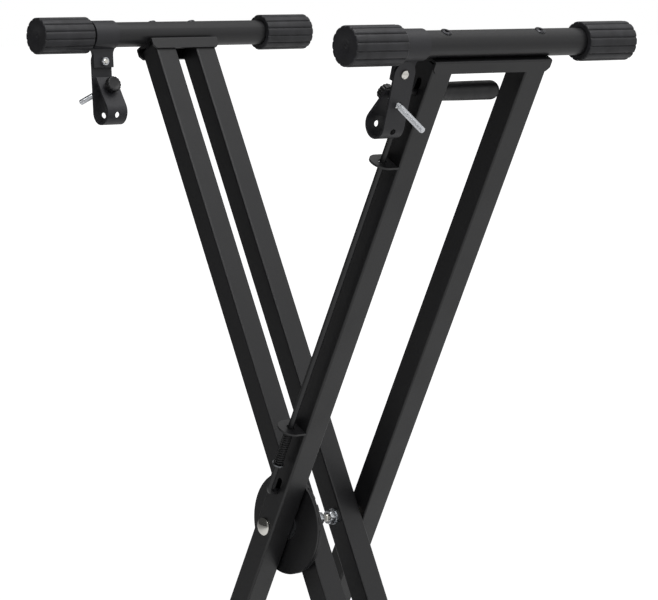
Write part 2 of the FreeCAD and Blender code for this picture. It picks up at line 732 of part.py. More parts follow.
def lock_spring():
    """A compression spring whose wire runs straight along its axis for its own thickness at each
    end, turns into the coil on a quarter bend, and winds up round the rod."""
    wire = number("spring_wire")
    radius = (number("spring_across") - wire) / 2
    low = number("spring_low")
    high = number("spring_high")
    bend = number("spring_lead")
    turns = int(number("spring_turns"))
    quarters = 4 * turns
    start = low + wire + bend
    rise = (high - low - 2 * (wire + bend)) / quarters
    points = []
    for quarter in range(quarters + 1):
        angle = math.radians(90 * quarter)
        points.append(V(radius * math.cos(angle), radius * math.sin(angle), start + rise * quarter))
    speed = radius * math.pi / 2
    headings = [V(-speed * math.sin(math.radians(90 * quarter)), speed * math.cos(math.radians(90 * quarter)),
                  rise).normalize() for quarter in range(quarters + 1)]
    foot = V(radius, -bend, low)
    top = V(radius, bend, high)
    up = V(0, 0, 1)
    wires = [Part.LineSegment(foot, foot + up * wire)]
    wires += biarc(foot + up * wire, up, points[0], headings[0])
    for index in range(quarters):
        wires += biarc(points[index], headings[index], points[index + 1], headings[index + 1])
    wires += biarc(points[-1], headings[-1], top - up * wire, up)
    wires.append(Part.LineSegment(top - up * wire, top))
    path = Part.Wire([piece.toShape() for piece in wires])
    section = Part.Wire([Part.Circle(foot, up, wire / 2).toShape()])
    item = document.addObject("Part::Feature", "lock_spring")
    item.Label = "lock_spring"
    item.Shape = path.makePipeShell([section], True, False)
    place(item, OUTER, at(y="-rod_y"))
    NODES.append(item)
    print("spring: least gap to itself", round(least_gap(path, wire), 3), "mm over", turns, "turns")
    print("spring: volume over section times length",
          round(item.Shape.Volume / (path.Length * math.pi * wire * wire / 4), 4))


def biarc(start, start_heading, end, end_heading):
    """Two arcs that meet smoothly and leave and arrive along the given headings."""
    span = end - start
    both = start_heading + end_heading
    spread = 2 * (1 - start_heading.dot(end_heading))
    along = span.dot(both)
    if spread < 1e-9:
        reach = span.Length / 4 / max(start_heading.dot(span.normalize()), 1e-9)
    else:
        reach = (math.sqrt(along * along + spread * span.dot(span)) - along) / spread
    middle = (start + start_heading * reach + end - end_heading * reach) * 0.5
    return [arc_from(start, start_heading, middle), arc_from(end, end_heading * -1, middle)]


def arc_from(start, heading, end):
    chord = end - start
    flat = V(chord).normalize()
    lean = heading - flat * heading.dot(flat)
    turn = math.atan2(lean.Length, heading.dot(flat))
    bulge = lean.normalize() * (chord.Length / 2 * math.tan(turn / 2))
    return Part.Arc(start, start + chord * 0.5 + bulge, end)


def least_gap(path, wire):
    """The least free space between stretches of the wire that are over half a turn apart, looking
    two turns ahead of each point."""
    step = wire / 2
    points = path.discretize(Distance=step)
    turn = math.pi * (number("spring_across") - wire) / step
    least = min((points[index] - points[other]).Length
                for index in range(len(points))
                for other in range(index + int(turn / 2), min(index + int(2 * turn), len(points))))
    return least - wire


def lock():
    guide_disc()
    notched_disc()
    guide_tab("guide_tab_upper", "tab_upper")
    guide_tab("guide_tab_lower", "tab_lower")
    release_rod()
    release_grip()
    ring("spring_seat", "seat_across", "seat_hole", "seat_thick", [OUTER, at(y="-rod_y", z="spring_seat_up")])
    pin = rod("seat_pin", "seat_pin_across - 2 * thread_fit", "seat_pin_length",
              OUTER, at(x="-seat_pin_length / 2", y="-rod_y", z="spring_seat_up - seat_pin_across / 2",
                        axis=(0, 1, 0), turn=90))
    pin.Label = "seat_pin"
    NODES.append(pin)
    lock_spring()


# ---- strap brackets ---------------------------------------------------------------------------

def strap_collar(name, steps):
    """A band round the cross tube whose two ends meet below it as ears."""
    owner = body(name)
    split = "(ear_left + ear_wall + ear_split / 2)"
    slit = "(ear_split / 2)"

    def level(radius, x):
        return f"-sqrt({radius} * {radius} - ({x}) * ({x}))"

    path = [("ear_left", "-ear_down"), ("ear_left", level("collar_outer", "ear_left")), ("arc", 0, 0, -1),
            ("ear_right", level("collar_outer", "ear_right")), ("ear_right", "-ear_down"),
            (f"{split} + {slit}", "-ear_down"),
            (f"{split} + {slit}", level("collar_inner", f"{split} + {slit}")), ("arc", 0, 0, 1),
            (f"{split} - {slit}", level("collar_inner", f"{split} - {slit}")),
            (f"{split} - {slit}", "-ear_down")]
    pad(owner, outline(sketch_on(owner, "XZ_Plane"), path), "collar_wide")
    pocket(owner, circle(sketch_on(owner, "YZ_Plane"), 0, "-clamp_down", "clamp_hole"))
    sides = sketch_on(owner, "YZ_Plane")
    flare_low = "-(collar_outer + ear_flare)"
    for way, turn in ((1, -1), (-1, 1)):
        outline(sides, [(f"{way} * ear_wide / 2", flare_low),
                        ("arc", f"{way} * (ear_wide / 2 + flare_radius)", flare_low, turn),
                        (f"{way} * collar_wide / 2", "-collar_outer"),
                        (f"{way} * collar_wide", "-collar_outer"), (f"{way} * collar_wide", "-2 * ear_down"),
                        (f"{way} * ear_wide / 2", "-2 * ear_down")])
    pocket(owner, sides)
    place(owner, *steps)


def strap(name, steps):
    """A steel strip that hangs from the ears, turns up round a bend and leans back on itself."""
    blank = body(name + "_blank", kept=False)
    outside = "strap_outside"
    inside = "(strap_outside + strap_wall)"
    top = "(strap_wide / 2 - clamp_down)"
    lean_x = "cos(strap_lean)"
    lean_z = "sin(strap_lean)"
    turn = "strap_bend"
    small = "(strap_bend - strap_wall)"
    centre = ("bend_in", "-strap_bend_down")
    outer_end = (f"{centre[0]} + {turn} * {lean_x}", f"{centre[1]} + {turn} * {lean_z}")
    inner_end = (f"{centre[0]} + {small} * {lean_x}", f"{centre[1]} + {small} * {lean_z}")
    along = (f" - strap_inner_up * {lean_z}", f" + strap_inner_up * {lean_x}")
    path = [(outside, top), (outside, centre[1]), ("arc", *centre, 1), outer_end,
            (outer_end[0] + along[0], outer_end[1] + along[1]),
            (inner_end[0] + along[0], inner_end[1] + along[1]), inner_end,
            ("arc", *centre, -1), (inside, centre[1]), (inside, top)]
    strip = pad(blank, outline(sketch_on(blank, "XZ_Plane"), path), "strap_wide")
    rim = number(top)
    side = number("strap_wide / 2")
    dress(blank, "Fillet", strip, lambda line: near(line.BoundBox.ZMin, rim) and near(line.BoundBox.ZMax, rim)
          and near(abs(line.BoundBox.YMin), side) and near(line.BoundBox.YMin, line.BoundBox.YMax),
          "(strap_wide - strap_end_flat) / 2")
    pocket(blank, circle(sketch_on(blank, "YZ_Plane"), 0, "-clamp_down", "clamp_hole"))
    pocket(blank, circle(sketch_on(blank, "YZ_Plane"), 0, "-strap_hole_down", "strap_hole"))
    bit = rod(name + "_bit", "stud_hole", "4 * stud_out", stud_line("-2 * stud_out"))
    drilled(name, blank, bit, *steps)


def stud_line(along):
    """The stud's line, pointing inwards and up, from a point that far along it."""
    return at(x="stud_in", z="-stud_down", axis=(0, 1, 0), turn="(90 - stud_tilt)") + " * " + at(z=along)


def stud(name, steps):
    """A threaded stud from inside the knob, out through both legs of the strap."""
    owner = body(name)
    length = "(stud_out + knob_start + knob_thick - knob_skin - stud_end_play)"
    half = "stud_across / 2"
    neck = "stud_neck_across / 2"
    lathe(owner, [(0, 0), (f"{half} - stud_point", 0), (half, "stud_point"), (half, "stud_free"),
                  (neck, "stud_free"), (neck, length), (0, length)])
    place(owner, *steps, stud_line("-stud_out"))


def knob(name, steps):
    owner = body(name)
    ribbed(owner, "knob_across", "knob_thick", "knob_ribs", "knob_groove_wide", "knob_groove_deep",
           "knob_edge")
    bore = circle(sketch_on(owner, "XY_Plane"), 0, 0, "stud_bore")
    pocket(owner, bore, "2 * (knob_thick - knob_skin)")
    place(owner, *steps, stud_line("knob_start"))


def bracket(side, steps):
    strap_collar(f"{side}_collar", steps)
    strap(f"{side}_strap", steps)
    dome_bolt(f"{side}_clamp_screw", "clamp_across", "clamp_head_across", "clamp_head_high",
              "clamp_head_rim", "ear_right - strap_outside + clamp_nut_high + clamp_past_nut",
              [*steps, at(x="strap_outside", z="-clamp_down", axis=(0, 1, 0), turn=-90)])
    nut(f"{side}_clamp_nut", "clamp_nut_flats", "clamp_nut_high", "clamp_across",
        [*steps, at(x="ear_right", z="-clamp_down", axis=(0, 1, 0), turn=90)])
    corner = "stud_nut_flats / 2 / cos(30) * tan(stud_tilt)"
    stud_start = f"(strap_outside + strap_wall - stud_in) / cos(stud_tilt) + {corner} + stud_nut_clear"
    nut(f"{side}_stud_nut", "stud_nut_flats", "stud_nut_high", "stud_neck_across",
        [*steps, stud_line(stud_start)])
    stud(f"{side}_stud", steps)
    knob(f"{side}_knob", steps)


def brackets():
    hang = dict(z="arm_reach", axis=(0, 1, 0))
    turned = at(turn=180)
    bracket("right", [OUTER, at(y="-right_ahead", turn="(right_swing - half_angle)", **hang), turned])
    bracket("left", [INNER, at(y="-left_ahead", turn="(half_angle - left_swing)", **hang)])


# ---- build and write --------------------------------------------------------------------------

def check():
    for item in document.Objects:
        if "Invalid" in item.State or "Error" in item.State:
            raise RuntimeError(f"{item.Name} failed: {item.State}")
    for item in CUTS:
        before = item.BaseFeature.Shape.Volume
        if not before - item.Shape.Volume > 0.1:
            raise RuntimeError(f"{item.Name} cuts nothing")
    for item in NODES:
        if item.Shape.isNull() or not item.Shape.isValid():
            raise RuntimeError(f"{item.Label} has no valid shape")


def write():
    os.makedirs("parts", exist_ok=True)
    for item in NODES:
        item.Shape.exportStep(f"parts/{item.Label}.step")
        print(item.Label, len(item.Shape.Solids), round(item.Shape.Volume, 1))


folding_frame("outer", "outer_spacing", "outer_overhang", [OUTER], slots=(
    ("pin_radius", "pin_radius + rod_slide"), ("grip_up", "grip_up + rod_slide")))
folding_frame("inner", "inner_spacing", "inner_overhang", [INNER])
pivot()
lock()
brackets()
document.recompute()
check()
write()
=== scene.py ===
import json
import math
import bpy
import bmesh
from mathutils import Matrix, Vector


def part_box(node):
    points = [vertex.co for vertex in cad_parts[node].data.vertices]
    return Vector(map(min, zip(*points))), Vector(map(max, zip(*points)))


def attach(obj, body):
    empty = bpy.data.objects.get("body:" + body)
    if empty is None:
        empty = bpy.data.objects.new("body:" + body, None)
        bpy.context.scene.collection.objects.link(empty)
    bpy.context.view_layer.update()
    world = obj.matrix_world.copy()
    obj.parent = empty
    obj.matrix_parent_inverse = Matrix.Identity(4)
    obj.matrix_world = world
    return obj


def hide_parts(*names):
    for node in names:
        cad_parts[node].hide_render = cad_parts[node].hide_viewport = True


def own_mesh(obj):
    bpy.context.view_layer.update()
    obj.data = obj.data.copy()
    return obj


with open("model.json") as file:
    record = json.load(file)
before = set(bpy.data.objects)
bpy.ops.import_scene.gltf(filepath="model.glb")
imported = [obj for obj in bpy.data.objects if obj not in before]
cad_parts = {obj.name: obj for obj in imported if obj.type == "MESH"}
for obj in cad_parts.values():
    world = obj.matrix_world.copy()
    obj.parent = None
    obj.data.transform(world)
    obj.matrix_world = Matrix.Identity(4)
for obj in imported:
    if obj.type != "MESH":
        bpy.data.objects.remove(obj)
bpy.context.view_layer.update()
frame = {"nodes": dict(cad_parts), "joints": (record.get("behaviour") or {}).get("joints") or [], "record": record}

MM = 0.001
PHOTO_WIDTH = 658           # pixels

# Sizes of pieces are in millimetres. The camera, the floor and the lamps are placed in metres.

# Camera: fitted to the edges of the arms and cross tubes in the photograph.
VIEW_TURN = 50.9            # degrees from the front towards +X
VIEW_RISE = 6.2
VIEW_DISTANCE = 3.015
VIEW_FOCUS = 3093.0         # focal length in pixels of the photograph
AIM_ASIDE = 0.0143
AIM_ABOVE_PIVOT = 0.2178
SENSOR = 36.0               # width in millimetres

# Folding frames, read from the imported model.
JOINTS = {joint["name"]: joint for joint in frame["joints"]}
PIVOT = Vector(JOINTS["fold"]["pos_m"])
ARM_UP = Vector(JOINTS["lock_release"]["axis"])
LEAN = math.atan2(ARM_UP.x, ARM_UP.z)


def middle(node):
    low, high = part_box(node)
    return (Vector(low) + Vector(high)) / 2


def span(node):
    low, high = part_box(node)
    return Vector(high) - Vector(low)


def depths(node):
    """How far back a node starts and ends, in millimetres."""
    low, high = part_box(node)
    return low[1] / MM, high[1] / MM


def tube_radius(node):
    """Half a cross tube's height, in millimetres."""
    return span(node).z / 2 / MM


# Each frame's own axes: Z up its arms from the pivot, Y along the pivot.
OUTER = Matrix.Translation(PIVOT) @ Matrix.Rotation(LEAN, 4, "Y")
INNER = (Matrix.Translation(PIVOT + Vector((0, middle("inner_top_tube").y, 0)))
         @ Matrix.Rotation(-LEAN, 4, "Y"))
FRAMES = {"outer": OUTER, "inner": INNER}


def local(steps, node):
    """The middle of a node in a frame's own axes, in millimetres."""
    return steps.inverted() @ middle(node) / MM


TO_FRONT = Matrix.Rotation(math.radians(90), 4, "X")
TO_REAR = Matrix.Rotation(math.radians(-90), 4, "X")
IN_MM = Matrix.Scale(MM, 4)


def at(x=0.0, y=0.0, z=0.0):
    """A move in millimetres."""
    return Matrix.Translation(Vector((x, y, z)) * MM)


# ---- materials --------------------------------------------------------------------------------

def linear(hex_colour):
    """An sRGB hex colour as the linear colour that shaders take."""
    def channel(pair):
        value = int(pair, 16) / 255
        return value / 12.92 if value <= 0.04045 else ((value + 0.055) / 1.055) ** 2.4
    code = hex_colour.lstrip("#")
    return tuple(channel(code[i:i + 2]) for i in (0, 2, 4)) + (1.0,)


def add(tree, kind, settings=None, **inputs):
    """Add a node. An input is named, or numbered as i0, i1; a node or a socket given for it is
    linked, and anything else is its value."""
    node = tree.nodes.new(kind)
    for name, value in (settings or {}).items():
        setattr(node, name, value)
    for name, value in inputs.items():
        numbered = name[1:].isdigit()
        socket = node.inputs[int(name[1:]) if numbered else name.replace("_", " ")]
        if isinstance(value, bpy.types.Node):
            value = value.outputs[0]
        if isinstance(value, bpy.types.NodeSocket):
            tree.links.new(value, socket)
        else:
            socket.default_value = value
    return node


def new_material(name):
    made = bpy.data.materials.new(name)
    made.use_nodes = True
    made.node_tree.nodes.clear()
    return made, made.node_tree


def per_mm(size):
    """Noise scale for features of this many millimetres."""
    return 1 / (size * MM)


def powder_coat(name, dark, dusty, low_gloss):
    """Satin black powder coat on steel: sprayed dry and baked, so a soft orange-peel skin breaks up
    its highlights, its gloss is faintly cloudy, and it holds a little pale dust."""
    made, tree = new_material(name)
    spot = add(tree, "ShaderNodeTexCoord").outputs["Object"]
    clouds = add(tree, "ShaderNodeTexNoise", Vector=spot, Scale=per_mm(38), Detail=3.0)
    peel = add(tree, "ShaderNodeTexNoise", Vector=spot, Scale=per_mm(1.5), Detail=2.0, Roughness=0.45)
    dust = add(tree, "ShaderNodeTexNoise", Vector=spot, Scale=per_mm(0.6), Detail=1.0)
    specks = add(tree, "ShaderNodeMapRange", Value=dust, From_Min=0.62, From_Max=0.8)
    colour = add(tree, "ShaderNodeMix", {"data_type": "RGBA"}, i0=specks, i6=linear(dark),
                 i7=linear(dusty))
    gloss = add(tree, "ShaderNodeMapRange", Value=clouds, From_Min=0.3, From_Max=0.7,
                To_Min=low_gloss - 0.05, To_Max=low_gloss + 0.05)
    skin = add(tree, "ShaderNodeBump", Height=peel, Strength=0.8, Distance=0.05 * MM)
    shader = add(tree, "ShaderNodeBsdfPrincipled", Base_Color=colour.outputs[2], Roughness=gloss,
                 Normal=skin)
    add(tree, "ShaderNodeOutputMaterial", Surface=shader)
    return made


def cap_rubber():
    """Soft PVC, injection moulded in an eroded mould: matt, with a fine even grain, and slightly
    paler and shinier in smears where hands and floors have rubbed it."""
    made, tree = new_material("moulded soft PVC")
    spot = add(tree, "ShaderNodeTexCoord").outputs["Object"]
    pits = add(tree, "ShaderNodeTexNoise", Vector=spot, Scale=per_mm(0.7), Detail=2.0)
    smears = add(tree, "ShaderNodeTexNoise", Vector=spot, Scale=per_mm(16), Detail=4.0, Distortion=0.4)
    rubbed = add(tree, "ShaderNodeMapRange", Value=smears, From_Min=0.35, From_Max=0.7)
    colour = add(tree, "ShaderNodeMix", {"data_type": "RGBA"}, i0=rubbed, i6=linear("#1c1c1f"),
                 i7=linear("#28282c"))
    gloss = add(tree, "ShaderNodeMapRange", Value=rubbed, To_Min=0.6, To_Max=0.48)
    skin = add(tree, "ShaderNodeBump", Height=pits, Strength=0.8, Distance=0.06 * MM)
    shader = add(tree, "ShaderNodeBsdfPrincipled", Base_Color=colour.outputs[2], Roughness=gloss,
                 Normal=skin)
    add(tree, "ShaderNodeOutputMaterial", Surface=shader)
    return made


def filled_nylon():
    """Black glass-filled nylon, injection moulded: a soft sheen with a faint swirl of fibres."""
    made, tree = new_material("black glass-filled nylon")
    spot = add(tree, "ShaderNodeTexCoord").outputs["Object"]
    fibres = add(tree, "ShaderNodeTexNoise", Vector=spot, Scale=per_mm(1.2), Detail=4.0, Distortion=1.2)
    swirl = add(tree, "ShaderNodeMapRange", Value=fibres, From_Min=0.35, From_Max=0.7)
    colour = add(tree, "ShaderNodeMix", {"data_type": "RGBA"}, i0=swirl, i6=linear("#131314"),
                 i7=linear("#1e1e20"))
    gloss = add(tree, "ShaderNodeMapRange", Value=swirl, To_Min=0.36, To_Max=0.5)
    skin = add(tree, "ShaderNodeBump", Height=fibres, Strength=0.6, Distance=0.03 * MM)
    shader = add(tree, "ShaderNodeBsdfPrincipled", Base_Color=colour.outputs[2], Roughness=gloss,
                 Normal=skin)
    add(tree, "ShaderNodeOutputMaterial", Surface=shader)
    return made


def dipped_vinyl():
    """Dipped vinyl grip: dark and smooth with long soft sags, and a low gloss like skin."""
    made, tree = new_material("black dipped vinyl")
    spot = add(tree, "ShaderNodeTexCoord").outputs["Object"]
    sags = add(tree, "ShaderNodeTexNoise", Vector=spot, Scale=per_mm(9), Detail=1.0)
    grain = add(tree, "ShaderNodeTexNoise", Vector=spot, Scale=per_mm(0.8), Detail=2.0)
    both = add(tree, "ShaderNodeMath", {"operation": "MULTIPLY_ADD"}, i0=sags, i1=4.0, i2=grain)
    gloss = add(tree, "ShaderNodeMapRange", Value=sags, From_Min=0.3, From_Max=0.7, To_Min=0.4,
                To_Max=0.54)
    skin = add(tree, "ShaderNodeBump", Height=both, Strength=0.6, Distance=0.06 * MM)
    shader = add(tree, "ShaderNodeBsdfPrincipled", Base_Color=linear("#131315"), Roughness=gloss,
                 Normal=skin)
    add(tree, "ShaderNodeOutputMaterial", Surface=shader)
    return made


def black_oxide():
    """Black oxide on screw steel: a thin dark skin over machined metal, worn grey where a key and
    hands have rubbed it."""
    made, tree = new_material("black oxide steel")
    spot = add(tree, "ShaderNodeTexCoord").outputs["Object"]
    rubs = add(tree, "ShaderNodeTexNoise", Vector=spot, Scale=per_mm(2.2), Detail=4.0)
    worn = add(tree, "ShaderNodeMapRange", Value=rubs, From_Min=0.5, From_Max=0.75)
    colour = add(tree, "ShaderNodeMix", {"data_type": "RGBA"}, i0=worn, i6=linear("#313134"),
                 i7=linear("#77777a"))
    gloss = add(tree, "ShaderNodeMapRange", Value=rubs, From_Min=0.3, From_Max=0.7, To_Min=0.28,
                To_Max=0.42)
    skin = add(tree, "ShaderNodeBump", Height=rubs, Strength=0.4, Distance=0.02 * MM)
    shader = add(tree, "ShaderNodeBsdfPrincipled", Base_Color=colour.outputs[2], Metallic=0.85,
                 Roughness=gloss, Normal=skin)
    add(tree, "ShaderNodeOutputMaterial", Surface=shader)
    return made


def zinc_plate(name, bright, dull_colour, low_gloss):
    """Zinc plate on rolled thread and nuts: pale metal, slightly blue, with the small dull marks of
    barrel tumbling."""
    made, tree = new_material(name)
    spot = add(tree, "ShaderNodeTexCoord").outputs["Object"]
    marks = add(tree, "ShaderNodeTexNoise", Vector=spot, Scale=per_mm(1.1), Detail=4.0)
    dull = add(tree, "ShaderNodeMapRange", Value=marks, From_Min=0.35, From_Max=0.7)
    colour = add(tree, "ShaderNodeMix", {"data_type": "RGBA"}, i0=dull, i6=linear(bright),
                 i7=linear(dull_colour))
    gloss = add(tree, "ShaderNodeMapRange", Value=dull, To_Min=low_gloss, To_Max=low_gloss + 0.16)
    skin = add(tree, "ShaderNodeBump", Height=marks, Strength=0.4, Distance=0.015 * MM)
    shader = add(tree, "ShaderNodeBsdfPrincipled", Base_Color=colour.outputs[2], Metallic=1.0,
                 Roughness=gloss, Normal=skin)
    add(tree, "ShaderNodeOutputMaterial", Surface=shader)
    return made


def polished_nickel():
    """Nickel plate over a polished dome: near a mirror, warm, with fine hairline scuffs."""
    made, tree = new_material("polished nickel plate")
    spot = add(tree, "ShaderNodeTexCoord").outputs["Object"]
    scuffs = add(tree, "ShaderNodeTexNoise", Vector=spot, Scale=per_mm(0.9), Detail=5.0, Distortion=2.0)
    gloss = add(tree, "ShaderNodeMapRange", Value=scuffs, From_Min=0.4, From_Max=0.75, To_Min=0.1,
                To_Max=0.24)
    shader = add(tree, "ShaderNodeBsdfPrincipled", Base_Color=linear("#dad8d2"), Metallic=1.0,
                 Roughness=gloss)
    add(tree, "ShaderNodeOutputMaterial", Surface=shader)
    return made


def phosphate_steel():
    """Phosphated and oiled spring wire: dark grey crystals under a dull metal shine."""
    made, tree = new_material("phosphated spring steel")
    spot = add(tree, "ShaderNodeTexCoord").outputs["Object"]
    film = add(tree, "ShaderNodeTexNoise", Vector=spot, Scale=per_mm(1.4), Detail=3.0)
    colour = add(tree, "ShaderNodeMix", {"data_type": "RGBA"}, i0=film, i6=linear("#1d1d1e"),
                 i7=linear("#3c3c3d"))
    gloss = add(tree, "ShaderNodeMapRange", Value=film, From_Min=0.3, From_Max=0.7, To_Min=0.34,
                To_Max=0.5)
    shader = add(tree, "ShaderNodeBsdfPrincipled", Base_Color=colour.outputs[2], Metallic=0.6,
                 Roughness=gloss)
    add(tree, "ShaderNodeOutputMaterial", Surface=shader)
    return made


def natural_nylon():
    """Undyed nylon bushes and washers: milky off-white, slightly waxy, greyed by grease."""
    made, tree = new_material("natural nylon")
    spot = add(tree, "ShaderNodeTexCoord").outputs["Object"]
    grease = add(tree, "ShaderNodeTexNoise", Vector=spot, Scale=per_mm(4), Detail=4.0)
    colour = add(tree, "ShaderNodeMix", {"data_type": "RGBA"}, i0=grease, i6=linear("#d6d2c4"),
                 i7=linear("#8f8b80"))
    shader = add(tree, "ShaderNodeBsdfPrincipled", Base_Color=colour.outputs[2], Roughness=0.42,
                 Subsurface_Weight=0.1)
    shader.inputs["Subsurface Scale"].default_value = 1.5 * MM
    add(tree, "ShaderNodeOutputMaterial", Surface=shader)
    return made


FINISHES = {
    "black_enamel": powder_coat("satin black powder coat", "#151517", "#2c2c2e", 0.41),
    "cap_rubber": cap_rubber(),
    "black_plastic": filled_nylon(),
    "black_oxide_steel": black_oxide(),
    "zinc_plate": zinc_plate("bright zinc plate", "#dfe1e4", "#b2b5ba", 0.24),
    "bright_chrome": polished_nickel(),
    "spring_steel": phosphate_steel(),
    "pale_nylon": natural_nylon(),
}
GRIP_FINISH = dipped_vinyl()
BRACKET_FINISH = powder_coat("duller black powder coat", "#222226", "#3a3a3e", 0.5)
GREASY_ZINC = zinc_plate("greased zinc plate", "#77797c", "#4c4d4f", 0.36)
GREASY_PARTS = ("spring_seat", "seat_pin", "pivot_spacer")     # they turn or slide
BRACKET_PARTS = ("right_collar", "left_collar", "right_strap", "left_strap")


def paint_cad_nodes():
    """Give each carried-over node the finish of its slot."""
    for part in frame["record"]["subparts"]:
        node = frame["nodes"][part["node"]]
        look = FINISHES[part["material_slot"]]
        if part["node"] in BRACKET_PARTS:
            look = BRACKET_FINISH
        elif part["node"] in GREASY_PARTS:
            look = GREASY_ZINC
        if not node.material_slots:
            node.data.materials.append(look)
        for slot in node.material_slots:
            slot.material = look


# ---- mesh helpers: shapes are in millimetres, and their place is in metres ------------------------

SHARP_ANGLE = 38.0
STAY_MM = Matrix.Scale(1 / MM, 4)       # the place of a shape that stays in millimetres


def mesh_object(name, verts, faces, place=Matrix(), edges=()):
    mesh = bpy.data.meshes.new(name)
    mesh.from_pydata([Vector(v) for v in verts], edges, faces)
    mesh.transform(place @ IN_MM)
    item = bpy.data.objects.new(name, mesh)
    bpy.context.scene.collection.objects.link(item)
    settle(item)
    return item


def settle(item):
    """Merge doubles, turn faces outwards, and shade smooth up to the sharp edges."""
    shape = bmesh.new()
    shape.from_mesh(item.data)
    bmesh.ops.remove_doubles(shape, verts=shape.verts, dist=0.001 * MM)
    bmesh.ops.recalc_face_normals(shape, faces=shape.faces)
    for edge in shape.edges:
        edge.smooth = len(edge.link_faces) == 2 and edge.calc_face_angle(0) < math.radians(SHARP_ANGLE)
    for face in shape.faces:
        face.smooth = True
    shape.to_mesh(item.data)
    shape.free()


def rings(rows, columns):
    """Quads between rings of vertices."""
    return [(row * columns + column, row * columns + (column + 1) % columns,
             (row + 1) * columns + (column + 1) % columns, (row + 1) * columns + column)
            for row in range(rows - 1) for column in range(columns)]


def ring_points(outline, columns, radius_at):
    """Rings of points about Z from (radius, height) points; radius_at(radius, height, angle), where
    it is given, shapes them."""
    verts = []
    for radius, height in outline:
        for column in range(columns):
            angle = 2 * math.pi * column / columns
            out = radius_at(radius, height, angle) if radius_at else radius
            verts.append((out * math.cos(angle), out * math.sin(angle), height))
    return verts


def turned(profile, columns, radius_at=None):
    """Vertices and faces of a solid turned about Z from an outline that starts and ends on the
    axis."""
    wall = profile[1:-1]
    verts = ring_points(wall, columns, radius_at)
    faces = rings(len(wall), columns)
    for spot, ring in ((profile[0], 0), (profile[-1], (len(wall) - 1) * columns)):
        centre = len(verts)
        verts.append((0, 0, spot[1]))
        faces += [(centre, ring + column, ring + (column + 1) % columns) for column in range(columns)]
    return verts, faces


def hoop(outline, columns, radius_at=None):
    """Vertices and faces of a ring turned about Z from a closed outline."""
    verts = ring_points(outline, columns, radius_at)
    faces = rings(len(outline), columns)
    last = (len(outline) - 1) * columns
    faces += [(last + column, last + (column + 1) % columns, (column + 1) % columns, column)
              for column in range(columns)]
    return verts, faces


def lofted(sections):
    """Vertices and faces of a bar through equal closed sections, with flat ends."""
    columns = len(sections[0])
    verts = [point for section in sections for point in section]
    faces = rings(len(sections), columns)
    faces.append(tuple(range(columns)))
    faces.append(tuple((len(sections) - 1) * columns + column for column in range(columns)))
    return verts, faces


def several(shapes):
    """Join placed shapes, each (vertices, faces, matrix in metres), into one."""
    verts = []
    faces = []
    for points, sides, place in shapes:
        first = len(verts)
        verts += [place @ (Vector(point) * MM) / MM for point in points]
        faces += [tuple(first + index for index in side) for side in sides]
    return verts, faces


def corner(x, y, radius, start, end, steps=6):
    """Points of a round corner of a profile about (x, y), by angle in degrees."""
    turns = [math.radians(start + (end - start) * step / steps) for step in range(steps + 1)]
    return [(x + radius * math.cos(turn), y + radius * math.sin(turn)) for turn in turns]


def hexagon(flats, angle):
    """Radius of a hexagon at an angle."""
    return flats / 2 / math.cos((angle + math.pi / 6) % (math.pi / 3) - math.pi / 6)


THREAD_ROUND = 0.8          # power that rounds the wave's roots


def thread(radius, depth, pitch, height, angle):
    """Radius of a rolled thread: a rounded wave that winds up the bar."""
    turn = (height / pitch - angle / (2 * math.pi)) % 1
    return radius - depth * (0.5 - 0.5 * math.cos(2 * math.pi * turn)) ** THREAD_ROUND


def finish(item, body, slot, node=None, look=None):
    """Dress a piece: its material, the body it rides on and the node it stands for."""
    item.data.materials.clear()
    item.data.materials.append(look or FINISHES[slot])
    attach(item, body)
    if node:
        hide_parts(node)


# ---- geometry nodes ---------------------------------------------------------------------------

def geometry_tree(name, inputs):
    """An empty tree with a Geometry input and output and the named inputs."""
    tree = bpy.data.node_groups.new(name, "GeometryNodeTree")
    tree.interface.new_socket("Geometry", in_out="INPUT", socket_type="NodeSocketGeometry")
    tree.interface.new_socket("Geometry", in_out="OUTPUT", socket_type="NodeSocketGeometry")
    for label, kind in inputs.items():
        tree.interface.new_socket(label, in_out="INPUT", socket_type=kind)
    return tree, add(tree, "NodeGroupInput")


def close_tree(tree, parts, look):
    """Join the parts, realize them, give them their material and send them out."""
    joined = add(tree, "GeometryNodeJoinGeometry")
    for part in parts:
        tree.links.new(part, joined.inputs[0])
    real = add(tree, "GeometryNodeRealizeInstances", Geometry=joined)
    painted = add(tree, "GeometryNodeSetMaterial", Geometry=real, Material=look)
    add(tree, "NodeGroupOutput", i0=painted)


def ribs_tree():
    """Copies of a rib at even turns round the Z axis of a core."""
    tree, given = geometry_tree("ribs round a core", {
        "Rib": "NodeSocketObject", "Count": "NodeSocketInt", "Finish": "NodeSocketMaterial"})
    count = given.outputs["Count"]
    points = add(tree, "GeometryNodeMeshCircle", Vertices=count, Radius=0.0)
    share = add(tree, "ShaderNodeMath", {"operation": "DIVIDE"}, i0=2 * math.pi, i1=count)
    index = add(tree, "GeometryNodeInputIndex")
    turn = add(tree, "ShaderNodeMath", {"operation": "MULTIPLY"}, i0=index, i1=share)
    spin = add(tree, "ShaderNodeCombineXYZ", i2=turn)
    rib = add(tree, "GeometryNodeObjectInfo", Object=given.outputs["Rib"])
    copies = add(tree, "GeometryNodeInstanceOnPoints", Points=points, Instance=rib.outputs["Geometry"],
                 Rotation=spin)
    close_tree(tree, (given.outputs["Geometry"], copies.outputs[0]), given.outputs["Finish"])
    return tree


